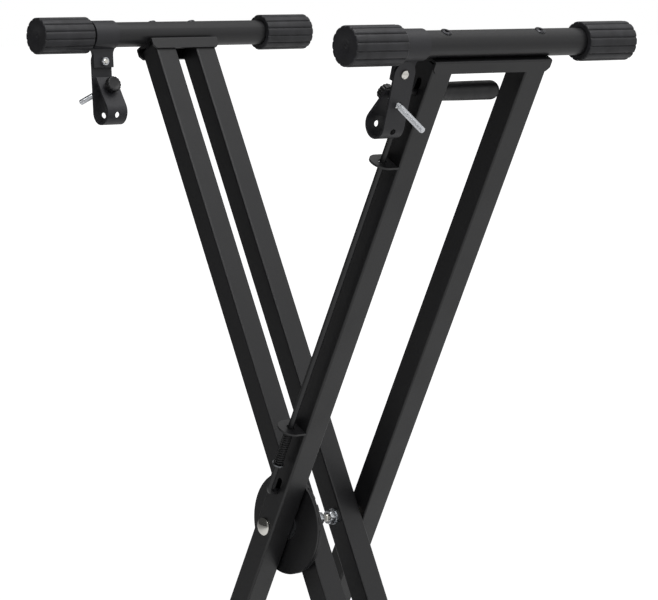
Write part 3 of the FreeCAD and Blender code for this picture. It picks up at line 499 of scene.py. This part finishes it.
def weld_tree():
    """Overlapping ripples of weld metal along a seam: the piece's own edges are the seam."""
    tree, given = geometry_tree("weld ripples along a seam", {
        "Ripple": "NodeSocketObject", "Step": "NodeSocketFloat", "Unevenness": "NodeSocketFloat",
        "Seed": "NodeSocketInt", "Finish": "NodeSocketMaterial"})
    seam = add(tree, "GeometryNodeMeshToCurve", Mesh=given.outputs["Geometry"])
    stops = add(tree, "GeometryNodeCurveToPoints", {"mode": "LENGTH"}, Curve=seam,
                Length=given.outputs["Step"])
    uneven = given.outputs["Unevenness"]
    low = add(tree, "ShaderNodeMath", {"operation": "SUBTRACT"}, i0=1.0, i1=uneven)
    high = add(tree, "ShaderNodeMath", {"operation": "ADD"}, i0=1.0, i1=uneven)
    sizes = add(tree, "FunctionNodeRandomValue", i2=low, i3=high, Seed=given.outputs["Seed"])
    ripple = add(tree, "GeometryNodeObjectInfo", Object=given.outputs["Ripple"])
    copies = add(tree, "GeometryNodeInstanceOnPoints", Points=stops, Instance=ripple.outputs["Geometry"],
                 Rotation=stops.outputs["Rotation"], Scale=sizes.outputs[1])
    close_tree(tree, (copies.outputs[0],), given.outputs["Finish"])
    return tree


def grow(item, tree, values, place):
    """Run a geometry tree on an object and keep the result as plain mesh, moved to its place."""
    modifier = item.modifiers.new("grow", "NODES")
    modifier.node_group = tree
    for socket in tree.interface.items_tree:
        if socket.in_out == "INPUT" and socket.name in values:
            modifier[socket.identifier] = values[socket.name]
    graph = bpy.context.evaluated_depsgraph_get()
    graph.update()
    grown = bpy.data.meshes.new_from_object(item.evaluated_get(graph))
    item.modifiers.clear()
    item.data = grown
    grown.transform(place)
    settle(item)
    return item


# ---- end caps -----------------------------------------------------------------------------------

CAP_RADIUS = 18.5           # over the ribs
CAP_LENGTH = 60.0
CAP_RIBS = 14
CAP_GROOVE_WIDE = 1.3
CAP_GROOVE_DEEP = 1.2
CAP_SHOULDER = 2.0          # radius of the rounding over the closed end
CAP_BORE_DEEP = 56.5
CAP_FIT = 0.05

# A rib's inset at each height of its foot, and its drop at each distance from its middle, as shares
# of half its width and of the groove's depth.
RIB_FOOT = [(1.0, 0.0), (0.5, 0.25), (0.12, 0.9), (0.0, 1.6)]
RIB_SHOULDER = [(1.0, 0.95), (0.92, 0.62), (0.8, 0.34), (0.62, 0.14), (0.35, 0.04)]
RIB_SHORT = 0.05            # a rib ends this far under the cap's length
RIB_ROOT = 1.0              # and sinks this far into the core
RIB_LEAST = 1.2             # least thickness of a rib, round the closed end

CORE_SHORT = 0.15           # the core ends this far under the cap's length
CORE_ROUND = 1.2
CORE_LIFT = 0.1             # the core starts this far inside the ribs' foot
CORE_EDGE = 0.9             # chamfer round its foot
BORE_MOUTH = 0.6
# Depth at each radius of the closed face: a dimple with the stub of the moulding gate in its middle.
FACE_DIMPLE = [(7.2, 0.0), (6.0, 0.5), (4.6, 0.9), (2.0, 1.0), (1.5, 0.6), (0.0, 0.55)]


def cap_rib():
    """One rib up a cap from z = 0: a flat bar with soft shoulders that follows the rounded end."""
    groove_floor = CAP_RADIUS - CAP_GROOVE_DEEP
    half = math.pi * CAP_RADIUS / CAP_RIBS - CAP_GROOVE_WIDE / 2
    turn_at = CAP_LENGTH - CAP_SHOULDER
    path = [(CAP_RADIUS - inset, height) for inset, height in RIB_FOOT]
    path += corner(CAP_RADIUS - CAP_SHOULDER, turn_at - RIB_SHORT, CAP_SHOULDER, 0, 88, 8)
    crown = [(-side, drop) for side, drop in RIB_SHOULDER] + [(0.0, 0.0)] + RIB_SHOULDER[::-1]
    sections = []
    for radius, height in path:
        reach = half * (radius / CAP_RADIUS if height > turn_at else 1.0)
        inner = min(groove_floor - RIB_ROOT, radius - RIB_LEAST)
        section = [(radius - drop * CAP_GROOVE_DEEP, side * reach, height) for side, drop in crown]
        section += [(inner, reach, height), (inner, -reach, height)]
        sections.append(section)
    return mesh_object("cap_rib_pattern", *lofted(sections), STAY_MM)


def cap_core(bore):
    """The sleeve under the ribs: open bore, rounded end and a shallow dimple in its face."""
    wall = CAP_RADIUS - CAP_GROOVE_DEEP
    top = CAP_LENGTH - CORE_SHORT
    profile = [(0, CAP_BORE_DEEP), (bore, CAP_BORE_DEEP), (bore, CORE_LIFT + BORE_MOUTH),
               (bore + BORE_MOUTH, CORE_LIFT), (wall - CORE_EDGE, CORE_LIFT), (wall, CORE_EDGE)]
    profile += corner(wall - CORE_ROUND, top - CORE_ROUND, CORE_ROUND, 0, 90)
    profile += [(radius, top - deep) for radius, deep in FACE_DIMPLE]
    return profile


def end_caps():
    """The eight ribbed caps: ribs grown round a core, for each end of each tube."""
    tree = ribs_tree()
    rib = cap_rib()
    values = {"Rib": rib, "Count": CAP_RIBS, "Finish": FINISHES["cap_rubber"]}
    for prefix, steps in FRAMES.items():
        for level in ("top", "base"):
            tube = f"{prefix}_{level}_tube"
            core = turned(cap_core(tube_radius(tube) + CAP_FIT), CAP_RIBS * 6)
            for end, turn in (("front", TO_FRONT), ("rear", TO_REAR)):
                node = f"{prefix}_{level}_cap_{end}"
                front, back = depths(node)
                open_end = (back if end == "front" else front) - steps.translation.y / MM
                place = steps @ at(y=open_end, z=local(steps, tube).z) @ turn
                item = mesh_object(node + "_ribbed", *core, STAY_MM)
                grow(item, tree, values, place @ IN_MM)
                finish(item, f"{prefix}_frame", "cap_rubber", node)
    bpy.data.objects.remove(rib, do_unlink=True)


# ---- fasteners ----------------------------------------------------------------------------------

CORNER_REACH = 1.155        # a hexagon's corners, as a share of its flats
NUT_FACE = 0.97             # the turned face of a nut, as a share of its flats
NUT_CHAMFER = 0.8
NUT_MOUTH = 0.5             # chamfer of its bore
NUT_BITE = 0.1              # its bore is this much under the thread's radius
THREAD_ROWS = 6             # rings to each turn of thread
THREAD_DEEP = 0.5           # share of the pitch
BOLT_TIP = 0.6              # chamfer of a bolt's tip, as a share of the pitch
SCREW_TIP = 0.5
HEAD_EDGE = 0.3
DOME_EDGE = 0.2
SOCKET_EDGE = 0.25
SOCKET_CONE = 0.5           # left by the drill under a hexagon socket
SOCKET_LAND = 1.1           # flat ring round it
CROWN_STEPS = 8


def hex_nut(flats, high, across):
    """A nut from z = 0 up with its corners turned off at both faces."""
    limit = flats / 2 * CORNER_REACH
    face = flats / 2 * NUT_FACE
    bore = across / 2 - NUT_BITE
    mouth = bore + NUT_MOUTH
    profile = [(bore, NUT_MOUTH), (mouth, 0), (face, 0), (limit, NUT_CHAMFER),
               (limit, high - NUT_CHAMFER), (face, high), (mouth, high), (bore, high - NUT_MOUTH)]
    return hoop(profile, 72, lambda radius, height, angle: min(radius, hexagon(flats, angle)))


def threaded_rows(low, high, pitch):
    """Heights of the rings up a threaded stretch."""
    count = max(2, round((high - low) / pitch * THREAD_ROWS))
    return [low + (high - low) * row / count for row in range(count + 1)]


def domed_bolt(across, head_across, head_high, rim, length, threaded, pitch):
    """A bolt whose domed head sits above z = 0, threaded for the last stretch of its shank."""
    radius = across / 2
    edge = head_across / 2
    rise = head_high - rim
    ball = (edge ** 2 + rise ** 2) / (2 * rise)
    spread = math.degrees(math.asin(edge / ball))
    tip = pitch * BOLT_TIP
    profile = [(0, -length), (radius - tip, -length)]
    profile += [(radius, height) for height in threaded_rows(tip - length, threaded - length, pitch)]
    profile += [(radius, 0), (edge - HEAD_EDGE, 0), (edge, HEAD_EDGE), (edge, rim - DOME_EDGE)]
    profile += corner(0, head_high - ball, ball, 90 - spread, 90, 12)[1:-1] + [(0, head_high)]

    def skin(out, height, angle):
        wound = -length < height < threaded - length and out == radius
        return thread(radius, pitch * THREAD_DEEP, pitch, height, angle) if wound else out
    return turned(profile, 48, skin)


def button_screw(across, head_across, head_high, head_sunk, socket, socket_deep, grip):
    """A low head with a six-sided socket, sunk a little below z = 0, and a shank down from it."""
    radius = across / 2
    edge = head_across / 2
    key = socket / 2 * CORNER_REACH
    land = socket / 2 + SOCKET_LAND
    bottom = head_high - socket_deep
    profile = [(0, bottom - SOCKET_CONE), (key, bottom), (key, head_high - SOCKET_EDGE),
               (key + SOCKET_EDGE, head_high), (land, head_high)]
    for step in range(1, CROWN_STEPS + 1):
        turn = math.pi / 2 * step / CROWN_STEPS
        profile.append((land + (edge - land) * math.sin(turn), head_high * math.cos(turn)))
    profile += [(edge, HEAD_EDGE - head_sunk), (edge - HEAD_EDGE, -head_sunk), (radius, -head_sunk),
                (radius, SCREW_TIP - grip), (radius - SCREW_TIP, -grip), (0, -grip)]

    def skin(out, height, angle):
        return hexagon(socket, angle) if out == key else out
    return turned(profile, 48, skin)


# Sizes of the fasteners, as in the model of the construction apart from the low head of TUBE_SCREW,
# which lies in the curve of its tube.
TUBE_SCREW = dict(across=6.0, head_across=10.5, head_high=0.9, head_sunk=1.3, socket=4.0, socket_deep=1.8,
                  grip=42.0)
PIVOT_HEAD = dict(across=8.0, head_across=17.5, head_high=4.5, rim=1.6, threaded=14.0, pitch=1.25)
CLAMP_HEAD = dict(across=5.0, head_across=9.0, head_high=3.0, rim=1.0, threaded=7.0, pitch=0.8)
PIVOT_NUT = dict(flats=13.0, high=6.5, across=8.0)
CLAMP_NUT = dict(flats=8.0, high=4.0, across=5.0)
STUD_NUT = dict(flats=10.0, high=4.0, across=5.0)
SIDE_WASHER = (4.1, 9.2)        # radius of its bore and of its edge
WASHER_ROUNDS = (0.3, 0.5)      # chamfer of its bore and of its edge


def tube_screws():
    """The button screws through both cross tubes of each frame."""
    shape = button_screw(**TUBE_SCREW)
    for prefix, steps in FRAMES.items():
        placed = []
        for level, side in (("top", 1), ("base", -1)):
            tube = f"{prefix}_{level}_tube"
            seat = local(steps, tube).z + side * tube_radius(tube)
            upright = Matrix.Rotation(0 if side > 0 else math.pi, 4, "X")
            for end in ("front", "rear"):
                arm = local(steps, f"{prefix}_arm_{end}")
                placed.append((*shape, steps @ at(y=arm.y, z=seat) @ upright))
        item = mesh_object(f"{prefix}_button_screws", *several(placed))
        finish(item, f"{prefix}_frame", "black_oxide_steel", f"{prefix}_tube_screws")


def pivot_hardware():
    """Two domed bolts from the outside, their nuts behind the inner arms, and the side washer."""
    for end, turn in (("front", TO_FRONT), ("rear", TO_REAR)):
        front, back = depths(f"pivot_bolt_{end}")
        head = PIVOT_HEAD["head_high"]
        seat = front + head if end == "front" else back - head
        shape = domed_bolt(length=back - front - head, **PIVOT_HEAD)
        item = mesh_object(f"pivot_bolt_{end}_domed", *shape, OUTER @ at(y=seat) @ turn)
        finish(item, "outer_frame", "bright_chrome", f"pivot_bolt_{end}")
    front, back = depths("pivot_nuts")
    nut = hex_nut(**PIVOT_NUT)
    # the two nuts face each other between the inner arms
    placed = [(*nut, OUTER @ at(y=start) @ TO_REAR) for start in (back - PIVOT_NUT["high"], front)]
    item = mesh_object("pivot_nuts_chamfered", *several(placed))
    finish(item, "outer_frame", "zinc_plate", "pivot_nuts")
    front, back = depths("pivot_side_washer")
    thick = back - front
    bore, edge = SIDE_WASHER
    inner, outer = WASHER_ROUNDS
    outline = [(bore, inner), (bore + inner, 0), (edge - outer, 0), (edge, outer), (edge, thick - outer),
               (edge - outer, thick), (bore + inner, thick), (bore, thick - inner)]
    item = mesh_object("pivot_side_washer_rounded", *hoop(outline, 64), OUTER @ at(y=front) @ TO_REAR)
    finish(item, "outer_frame", "pale_nylon", "pivot_side_washer")


# ---- brackets -----------------------------------------------------------------------------------

STUD_IN = 3.1
STUD_DOWN = 54.7
STUD_TILT = math.radians(15.5)
STUD_OUT = 45.0
STUD_FREE = 36.0            # length of the thick thread
STUD_RADIUS = 3.0
STUD_PITCH = 1.0
STUD_THREAD = 0.45          # depth of the thread
STUD_TIP = (0.7, 0.6)       # inset and height of the chamfer at its tip
NECK_RADIUS = 2.5
NECK_PITCH = 0.8
NECK_THREAD = 0.35
NECK_STEP = 0.5
STUD_NUT_PLAY = 0.4
KNOB_START = 11.4
KNOB_THICK = 7.5
KNOB_RADIUS = 8.0
KNOB_SKIN = 2.5             # of the knob stays over the end of the stud
KNOB_RIBS = 14
KNOB_GROOVE = 0.6
KNOB_GROOVE_IN = 1.8        # the grooves start this far in from the rim
KNOB_GROOVE_RAMP = 1.2
KNOB_GROOVE_NARROW = 2.5    # power that leaves the ribs wider than the grooves
KNOB_EDGE = 1.3
KNOB_FOOT = [(1.6, 0.0), (0.6, 0.5), (0.0, 1.2)]        # inset at each height
KNOB_DISH = [(5.8, 0.0), (5.0, 0.35), (2.0, 0.5), (0.0, 0.5)]   # radius and depth
STRAP_OUTSIDE = -2.5
STRAP_WALL = 2.0
EAR_RIGHT = 3.5
CLAMP_DOWN = 26.8
CLAMP_TIP = 1.0             # the clamp screw stands this far past its nut
SIDES = {"right": ("outer_frame", math.pi), "left": ("inner_frame", 0.0)}


def hang_frame(side):
    """A bracket's own axes: X inwards, Z up its strap, from the middle of the cross tube."""
    joint = JOINTS[f"{side}_thumbscrew_turn"]
    axis = Vector(joint["axis"])
    if side == "right":
        lean = math.atan2(axis.z, -axis.x) - STUD_TILT
    else:
        lean = STUD_TILT - math.atan2(axis.z, axis.x)
    turn = Matrix.Rotation(lean, 4, "Y") @ Matrix.Rotation(SIDES[side][1], 4, "Z")
    down_to_stud = turn @ Vector((STUD_IN, 0, -STUD_DOWN)) * MM
    return Matrix.Translation(Vector(joint["pos_m"]) - down_to_stud) @ turn


def stud_frame(side):
    """The stud's own axes: Z inwards and up along it, from where it crosses the strap."""
    tilt = Matrix.Rotation(math.pi / 2 - STUD_TILT, 4, "Y")
    return hang_frame(side) @ at(STUD_IN, 0, -STUD_DOWN) @ tilt


def threaded_stud():
    """A stud along Z with rolled thread from its pointed tip into the knob."""
    inner_end = KNOB_START + KNOB_THICK - KNOB_SKIN
    free_end = STUD_FREE - STUD_OUT
    inset, rise = STUD_TIP
    free = threaded_rows(rise - STUD_OUT, free_end, STUD_PITCH)
    neck = threaded_rows(free_end + NECK_STEP, inner_end, NECK_PITCH)
    profile = [(0, -STUD_OUT), (STUD_RADIUS - inset, -STUD_OUT)]
    profile += [(STUD_RADIUS, height) for height in free]
    profile += [(NECK_RADIUS, height) for height in neck]
    profile += [(0, inner_end)]

    def skin(out, height, angle):
        if out == STUD_RADIUS:
            return thread(out, STUD_THREAD, STUD_PITCH, height, angle)
        return thread(out, NECK_THREAD, NECK_PITCH, height, angle) if out == NECK_RADIUS else out
    return turned(profile, 36, skin)


def ribbed_knob():
    """A knob from z = 0 up: rounded ribs round its rim and a dished face."""
    profile = [(0, 0)] + [(KNOB_RADIUS - inset, height) for inset, height in KNOB_FOOT]
    profile += corner(KNOB_RADIUS - KNOB_EDGE, KNOB_THICK - KNOB_EDGE, KNOB_EDGE, 0, 90)
    profile += [(radius, KNOB_THICK - deep) for radius, deep in KNOB_DISH]

    def skin(out, height, angle):
        """Grooves at full depth on the rim, that run out towards the face."""
        run_out = min(1.0, max(0.0, (out - KNOB_RADIUS + KNOB_GROOVE_IN) / KNOB_GROOVE_RAMP))
        wave = (0.5 - 0.5 * math.cos(KNOB_RIBS * angle)) ** KNOB_GROOVE_NARROW
        return out - KNOB_GROOVE * run_out * wave
    return turned(profile, KNOB_RIBS * 12, skin)


def brackets():
    """Studs, knobs and fasteners of both strap brackets."""
    clamp = domed_bolt(length=EAR_RIGHT - STRAP_OUTSIDE + CLAMP_NUT["high"] + CLAMP_TIP, **CLAMP_HEAD)
    nut_corner = STUD_NUT["flats"] / 2 / math.cos(math.pi / 6)
    nut_start = ((STRAP_OUTSIDE + STRAP_WALL - STUD_IN) / math.cos(STUD_TILT)
                 + nut_corner * math.tan(STUD_TILT) + STUD_NUT_PLAY)
    head_out = Matrix.Rotation(-math.pi / 2, 4, "Y")
    nut_in = Matrix.Rotation(math.pi / 2, 4, "Y")
    for side, (body, _) in SIDES.items():
        hang = hang_frame(side)
        line = stud_frame(side)
        item = mesh_object(f"{side}_clamp_screw_domed", *clamp,
                           hang @ at(STRAP_OUTSIDE, 0, -CLAMP_DOWN) @ head_out)
        finish(item, body, "bright_chrome", f"{side}_clamp_screw")
        item = mesh_object(f"{side}_clamp_nut_chamfered", *hex_nut(**CLAMP_NUT),
                           hang @ at(EAR_RIGHT, 0, -CLAMP_DOWN) @ nut_in)
        finish(item, body, "zinc_plate", f"{side}_clamp_nut")
        item = mesh_object(f"{side}_stud_nut_chamfered", *hex_nut(**STUD_NUT), line @ at(z=nut_start))
        finish(item, body, "zinc_plate", f"{side}_stud_nut")
        item = mesh_object(f"{side}_stud_threaded", *threaded_stud(), line)
        finish(item, f"{side}_thumbscrew", "zinc_plate", f"{side}_stud")
        item = mesh_object(f"{side}_knob_ribbed", *ribbed_knob(), line @ at(z=KNOB_START))
        finish(item, f"{side}_thumbscrew", "black_plastic", f"{side}_knob")


# ---- lock ---------------------------------------------------------------------------------------

SPRING_WIRE = 1.2
SPRING_ACROSS = 9.3
SPRING_TURNS = 16
SPRING_SIDES = 10
SPRING_STEPS = 28           # stations to each turn
SPRING_LOW = 76.8
SPRING_HIGH = 115.7
SPRING_END_TURNS = 1.0      # closed turns at each end
SPRING_CLOSED = 1.04        # pitch of the closed turns, in wires


def spring():
    """A compression spring round the rod, with a closed turn at each end."""
    rod = local(OUTER, "spring_seat")
    radius = (SPRING_ACROSS - SPRING_WIRE) / 2
    total = SPRING_TURNS * SPRING_STEPS
    low = SPRING_LOW + SPRING_WIRE / 2
    high = SPRING_HIGH - SPRING_WIRE / 2
    closed = SPRING_WIRE * SPRING_CLOSED
    pitch = (high - low - 2 * SPRING_END_TURNS * closed) / (SPRING_TURNS - 2 * SPRING_END_TURNS)

    def rise(turn):
        """Height at a number of turns: steep in the middle, closed at both ends."""
        if turn < SPRING_END_TURNS:
            return low + closed * turn
        if turn > SPRING_TURNS - SPRING_END_TURNS:
            return high - closed * (SPRING_TURNS - turn)
        return low + closed * SPRING_END_TURNS + pitch * (turn - SPRING_END_TURNS)

    sections = []
    for station in range(total + 1):
        turn = station / SPRING_STEPS
        angle = 2 * math.pi * turn
        out = Vector((math.cos(angle), math.sin(angle), 0))
        centre = out * radius + Vector((0, 0, rise(turn)))
        section = []
        for side in range(SPRING_SIDES):
            around = 2 * math.pi * side / SPRING_SIDES
            reach = out * math.cos(around) + Vector((0, 0, math.sin(around)))
            section.append(centre + reach * SPRING_WIRE / 2)
        sections.append(section)
    item = mesh_object("lock_spring_wire", *lofted(sections), OUTER @ at(x=rod.x, y=rod.y))
    finish(item, "outer_frame", "spring_steel", "lock_spring")
    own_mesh(item)


GRIP_RADIUS = 9.0
# The grip's inset at each distance from its open end, and then at each share of its length.
GRIP_LIP = [(2.2, 0.0), (0.9, 0.3), (0.2, 1.0), (0.0, 2.0), (0.35, 3.6), (0.45, 6.0)]
GRIP_SWELL = [(0.15, 0.35), (0.05, 0.55)]


def grip():
    """The dipped grip on the upper leg of the rod: a long bead with a rolled lip and a round end."""
    front, back = depths("release_grip")
    length = back - front
    line = local(OUTER, "release_grip")
    profile = [(0, 0)] + [(GRIP_RADIUS - inset, along) for inset, along in GRIP_LIP]
    profile += [(GRIP_RADIUS - inset, length * share) for inset, share in GRIP_SWELL]
    profile += corner(0, length - GRIP_RADIUS, GRIP_RADIUS, 0, 88, 12) + [(0, length)]
    item = mesh_object("release_grip_dipped", *turned(profile, 56),
                       OUTER @ at(x=line.x, y=front, z=line.z) @ TO_REAR)
    finish(item, "release", "black_plastic", "release_grip", GRIP_FINISH)


# ---- welds --------------------------------------------------------------------------------------

WELD_STEP = 0.9
WELD_WIDE = 1.9
WELD_FLAT = 0.55            # a ripple's length along the seam, as a share of its width
WELD_HALF = 10.0            # half the length of a bead
WELD_BELOW = 1.2            # below the middle of the tab's plate
WELD_UNEVEN = 0.12


def weld_ripple():
    """One flattened drop of weld metal about the origin."""
    profile = [(0, -1.0)] + corner(0, 0, 1.0, -90, 90, 8)[1:-1] + [(0, 1.0)]
    verts, faces = turned(profile, 14)
    shaped = [(x * WELD_WIDE, y * WELD_WIDE, z * WELD_WIDE * WELD_FLAT) for x, y, z in verts]
    return mesh_object("weld_ripple_pattern", shaped, faces, STAY_MM)


def welds():
    """Beads where the guide tabs meet the front arm."""
    tree = weld_tree()
    ripple = weld_ripple()
    face, _ = depths("outer_arm_front")
    for seed, tab in enumerate(("guide_tab_upper", "guide_tab_lower"), start=1):
        height = local(OUTER, tab).z - WELD_BELOW
        seam = [(-WELD_HALF, face, height), (WELD_HALF, face, height)]
        item = mesh_object(f"{tab}_weld", seam, [], STAY_MM, [(0, 1)])
        values = {"Ripple": ripple, "Step": WELD_STEP, "Unevenness": WELD_UNEVEN, "Seed": seed,
                  "Finish": FINISHES["black_enamel"]}
        grow(item, tree, values, OUTER @ IN_MM)
        finish(item, "outer_frame", "black_enamel")
    bpy.data.objects.remove(ripple, do_unlink=True)


# ---- set ----------------------------------------------------------------------------------------

BRIGHT_SIDE = (0.78, 0.62, 0.0)     # the pale surround stands to the right and behind
BRIGHT_LEVEL = 0.6
DARK_LEVEL = 0.04                   # the room in front of it is dim
MIRROR_GAIN = 1.3                   # bright metal shows the surround paler than it lights the coat
FLOOR_NEAR = (1.5, 0.71)            # distance in metres and glow: with its light, the floor is white
FLOOR_FAR = (5.0, 0.93)             # and further off it stays white with less light
FLOOR_MIRRORED = 0.4
PAPER_EDGE = (-1.7, -0.5)           # in a mirror the floor ends between these distances, in metres
FLOOR_HALF = 30.0
WALL_EDGE = (-0.55, 0.45)           # where the surround turns from dim to bright


def paper():
    """Matt paper that is white to the camera, and dimmer in a mirror. Shadows fall on it."""
    made, tree = new_material("matt white paper")
    ray = add(tree, "ShaderNodeLightPath").outputs
    spot = add(tree, "ShaderNodeTexCoord").outputs["Object"]
    side = add(tree, "ShaderNodeVectorMath", {"operation": "DOT_PRODUCT"}, i0=spot, i1=BRIGHT_SIDE)
    sheet = add(tree, "ShaderNodeMapRange", Value=side.outputs["Value"], From_Min=PAPER_EDGE[0],
                From_Max=PAPER_EDGE[1], To_Max=FLOOR_MIRRORED)
    mirrored = add(tree, "ShaderNodeMath", {"operation": "MULTIPLY"}, i0=ray["Is Glossy Ray"], i1=sheet)
    seen = add(tree, "ShaderNodeMath", {"operation": "MAXIMUM"}, i0=ray["Is Camera Ray"],
               i1=ray["Is Transmission Ray"])
    away = add(tree, "ShaderNodeVectorMath", {"operation": "LENGTH"}, i0=spot)
    pale = add(tree, "ShaderNodeMapRange", Value=away.outputs["Value"], From_Min=FLOOR_NEAR[0],
               From_Max=FLOOR_FAR[0], To_Min=FLOOR_NEAR[1], To_Max=FLOOR_FAR[1])
    white = add(tree, "ShaderNodeMath", {"operation": "MULTIPLY"}, i0=seen, i1=pale)
    level = add(tree, "ShaderNodeMath", {"operation": "MAXIMUM"}, i0=white, i1=mirrored)
    glow = add(tree, "ShaderNodeEmission", Color=(1, 1, 1, 1), Strength=level)
    paint = add(tree, "ShaderNodeBsdfDiffuse", Color=linear("#d2d2d2"))
    both = add(tree, "ShaderNodeAddShader", i0=paint, i1=glow)
    add(tree, "ShaderNodeOutputMaterial", Surface=both)
    return made


def surround():
    """A surround that is white to the camera, and bright on one side to what it lights."""
    world = bpy.data.worlds.new("white surround")
    bpy.context.scene.world = world
    world.use_nodes = True
    tree = world.node_tree
    tree.nodes.clear()
    ray = add(tree, "ShaderNodeLightPath").outputs
    way = add(tree, "ShaderNodeTexCoord").outputs["Generated"]
    side = add(tree, "ShaderNodeVectorMath", {"operation": "DOT_PRODUCT"}, i0=way, i1=BRIGHT_SIDE)
    wall = add(tree, "ShaderNodeMapRange", {"interpolation_type": "SMOOTHSTEP"},
               Value=side.outputs["Value"], From_Min=WALL_EDGE[0], From_Max=WALL_EDGE[1],
               To_Min=DARK_LEVEL, To_Max=BRIGHT_LEVEL)
    seen = add(tree, "ShaderNodeMath", {"operation": "MAXIMUM"}, i0=ray["Is Camera Ray"],
               i1=ray["Is Transmission Ray"])
    gain = add(tree, "ShaderNodeMath", {"operation": "MULTIPLY"}, i0=ray["Is Glossy Ray"],
               i1=MIRROR_GAIN)
    mirrored = add(tree, "ShaderNodeMath", {"operation": "MULTIPLY"}, i0=gain, i1=wall)
    shown = add(tree, "ShaderNodeMath", {"operation": "MAXIMUM"}, i0=seen, i1=mirrored)
    level = add(tree, "ShaderNodeMath", {"operation": "MAXIMUM"}, i0=shown, i1=wall)
    sky = add(tree, "ShaderNodeBackground", Color=(1, 1, 1, 1), Strength=level)
    add(tree, "ShaderNodeOutputWorld", Surface=sky)


def lamp(name, place, size, watts):
    """A square softbox that faces the pivot."""
    light = bpy.data.lights.new(name, "AREA")
    light.shape = "RECTANGLE"
    light.size = size
    light.size_y = size
    light.energy = watts
    item = bpy.data.objects.new(name, light)
    bpy.context.scene.collection.objects.link(item)
    item.location = place
    item.rotation_euler = (PIVOT - Vector(place)).to_track_quat("-Z", "Y").to_euler()


def studio():
    """A plain pale floor and surround, and two soft lamps."""
    half = FLOOR_HALF
    floor = bpy.data.objects.new("studio_floor", bpy.data.meshes.new("studio_floor"))
    corners = [(-half, -half, 0), (half, -half, 0), (half, half, 0), (-half, half, 0)]
    floor.data.from_pydata(corners, [], [(0, 1, 2, 3)])
    bpy.context.scene.collection.objects.link(floor)
    floor.data.materials.append(paper())
    surround()
    lamp("overhead softbox", place=(0.7, 0.1, 3.0), size=1.8, watts=34)
    lamp("front softbox", place=(1.05, -1.85, 2.2), size=0.45, watts=7)


def camera():
    """The photograph's viewpoint."""
    turn = math.radians(VIEW_TURN)
    rise = math.radians(VIEW_RISE)
    back = Vector((math.sin(turn) * math.cos(rise), -math.cos(turn) * math.cos(rise), math.sin(rise)))
    data = bpy.data.cameras.new("photo camera")
    data.sensor_width = SENSOR
    data.lens = VIEW_FOCUS / PHOTO_WIDTH * SENSOR
    item = bpy.data.objects.new("photo camera", data)
    bpy.context.scene.collection.objects.link(item)
    item.location = PIVOT + Vector((AIM_ASIDE, 0, AIM_ABOVE_PIVOT)) + back * VIEW_DISTANCE
    item.rotation_euler = (-back).to_track_quat("-Z", "Y").to_euler()
    bpy.context.scene.camera = item


bpy.context.scene.view_settings.view_transform = "Standard"
camera()
studio()
paint_cad_nodes()
end_caps()
tube_screws()
pivot_hardware()
brackets()
spring()
grip()
welds()
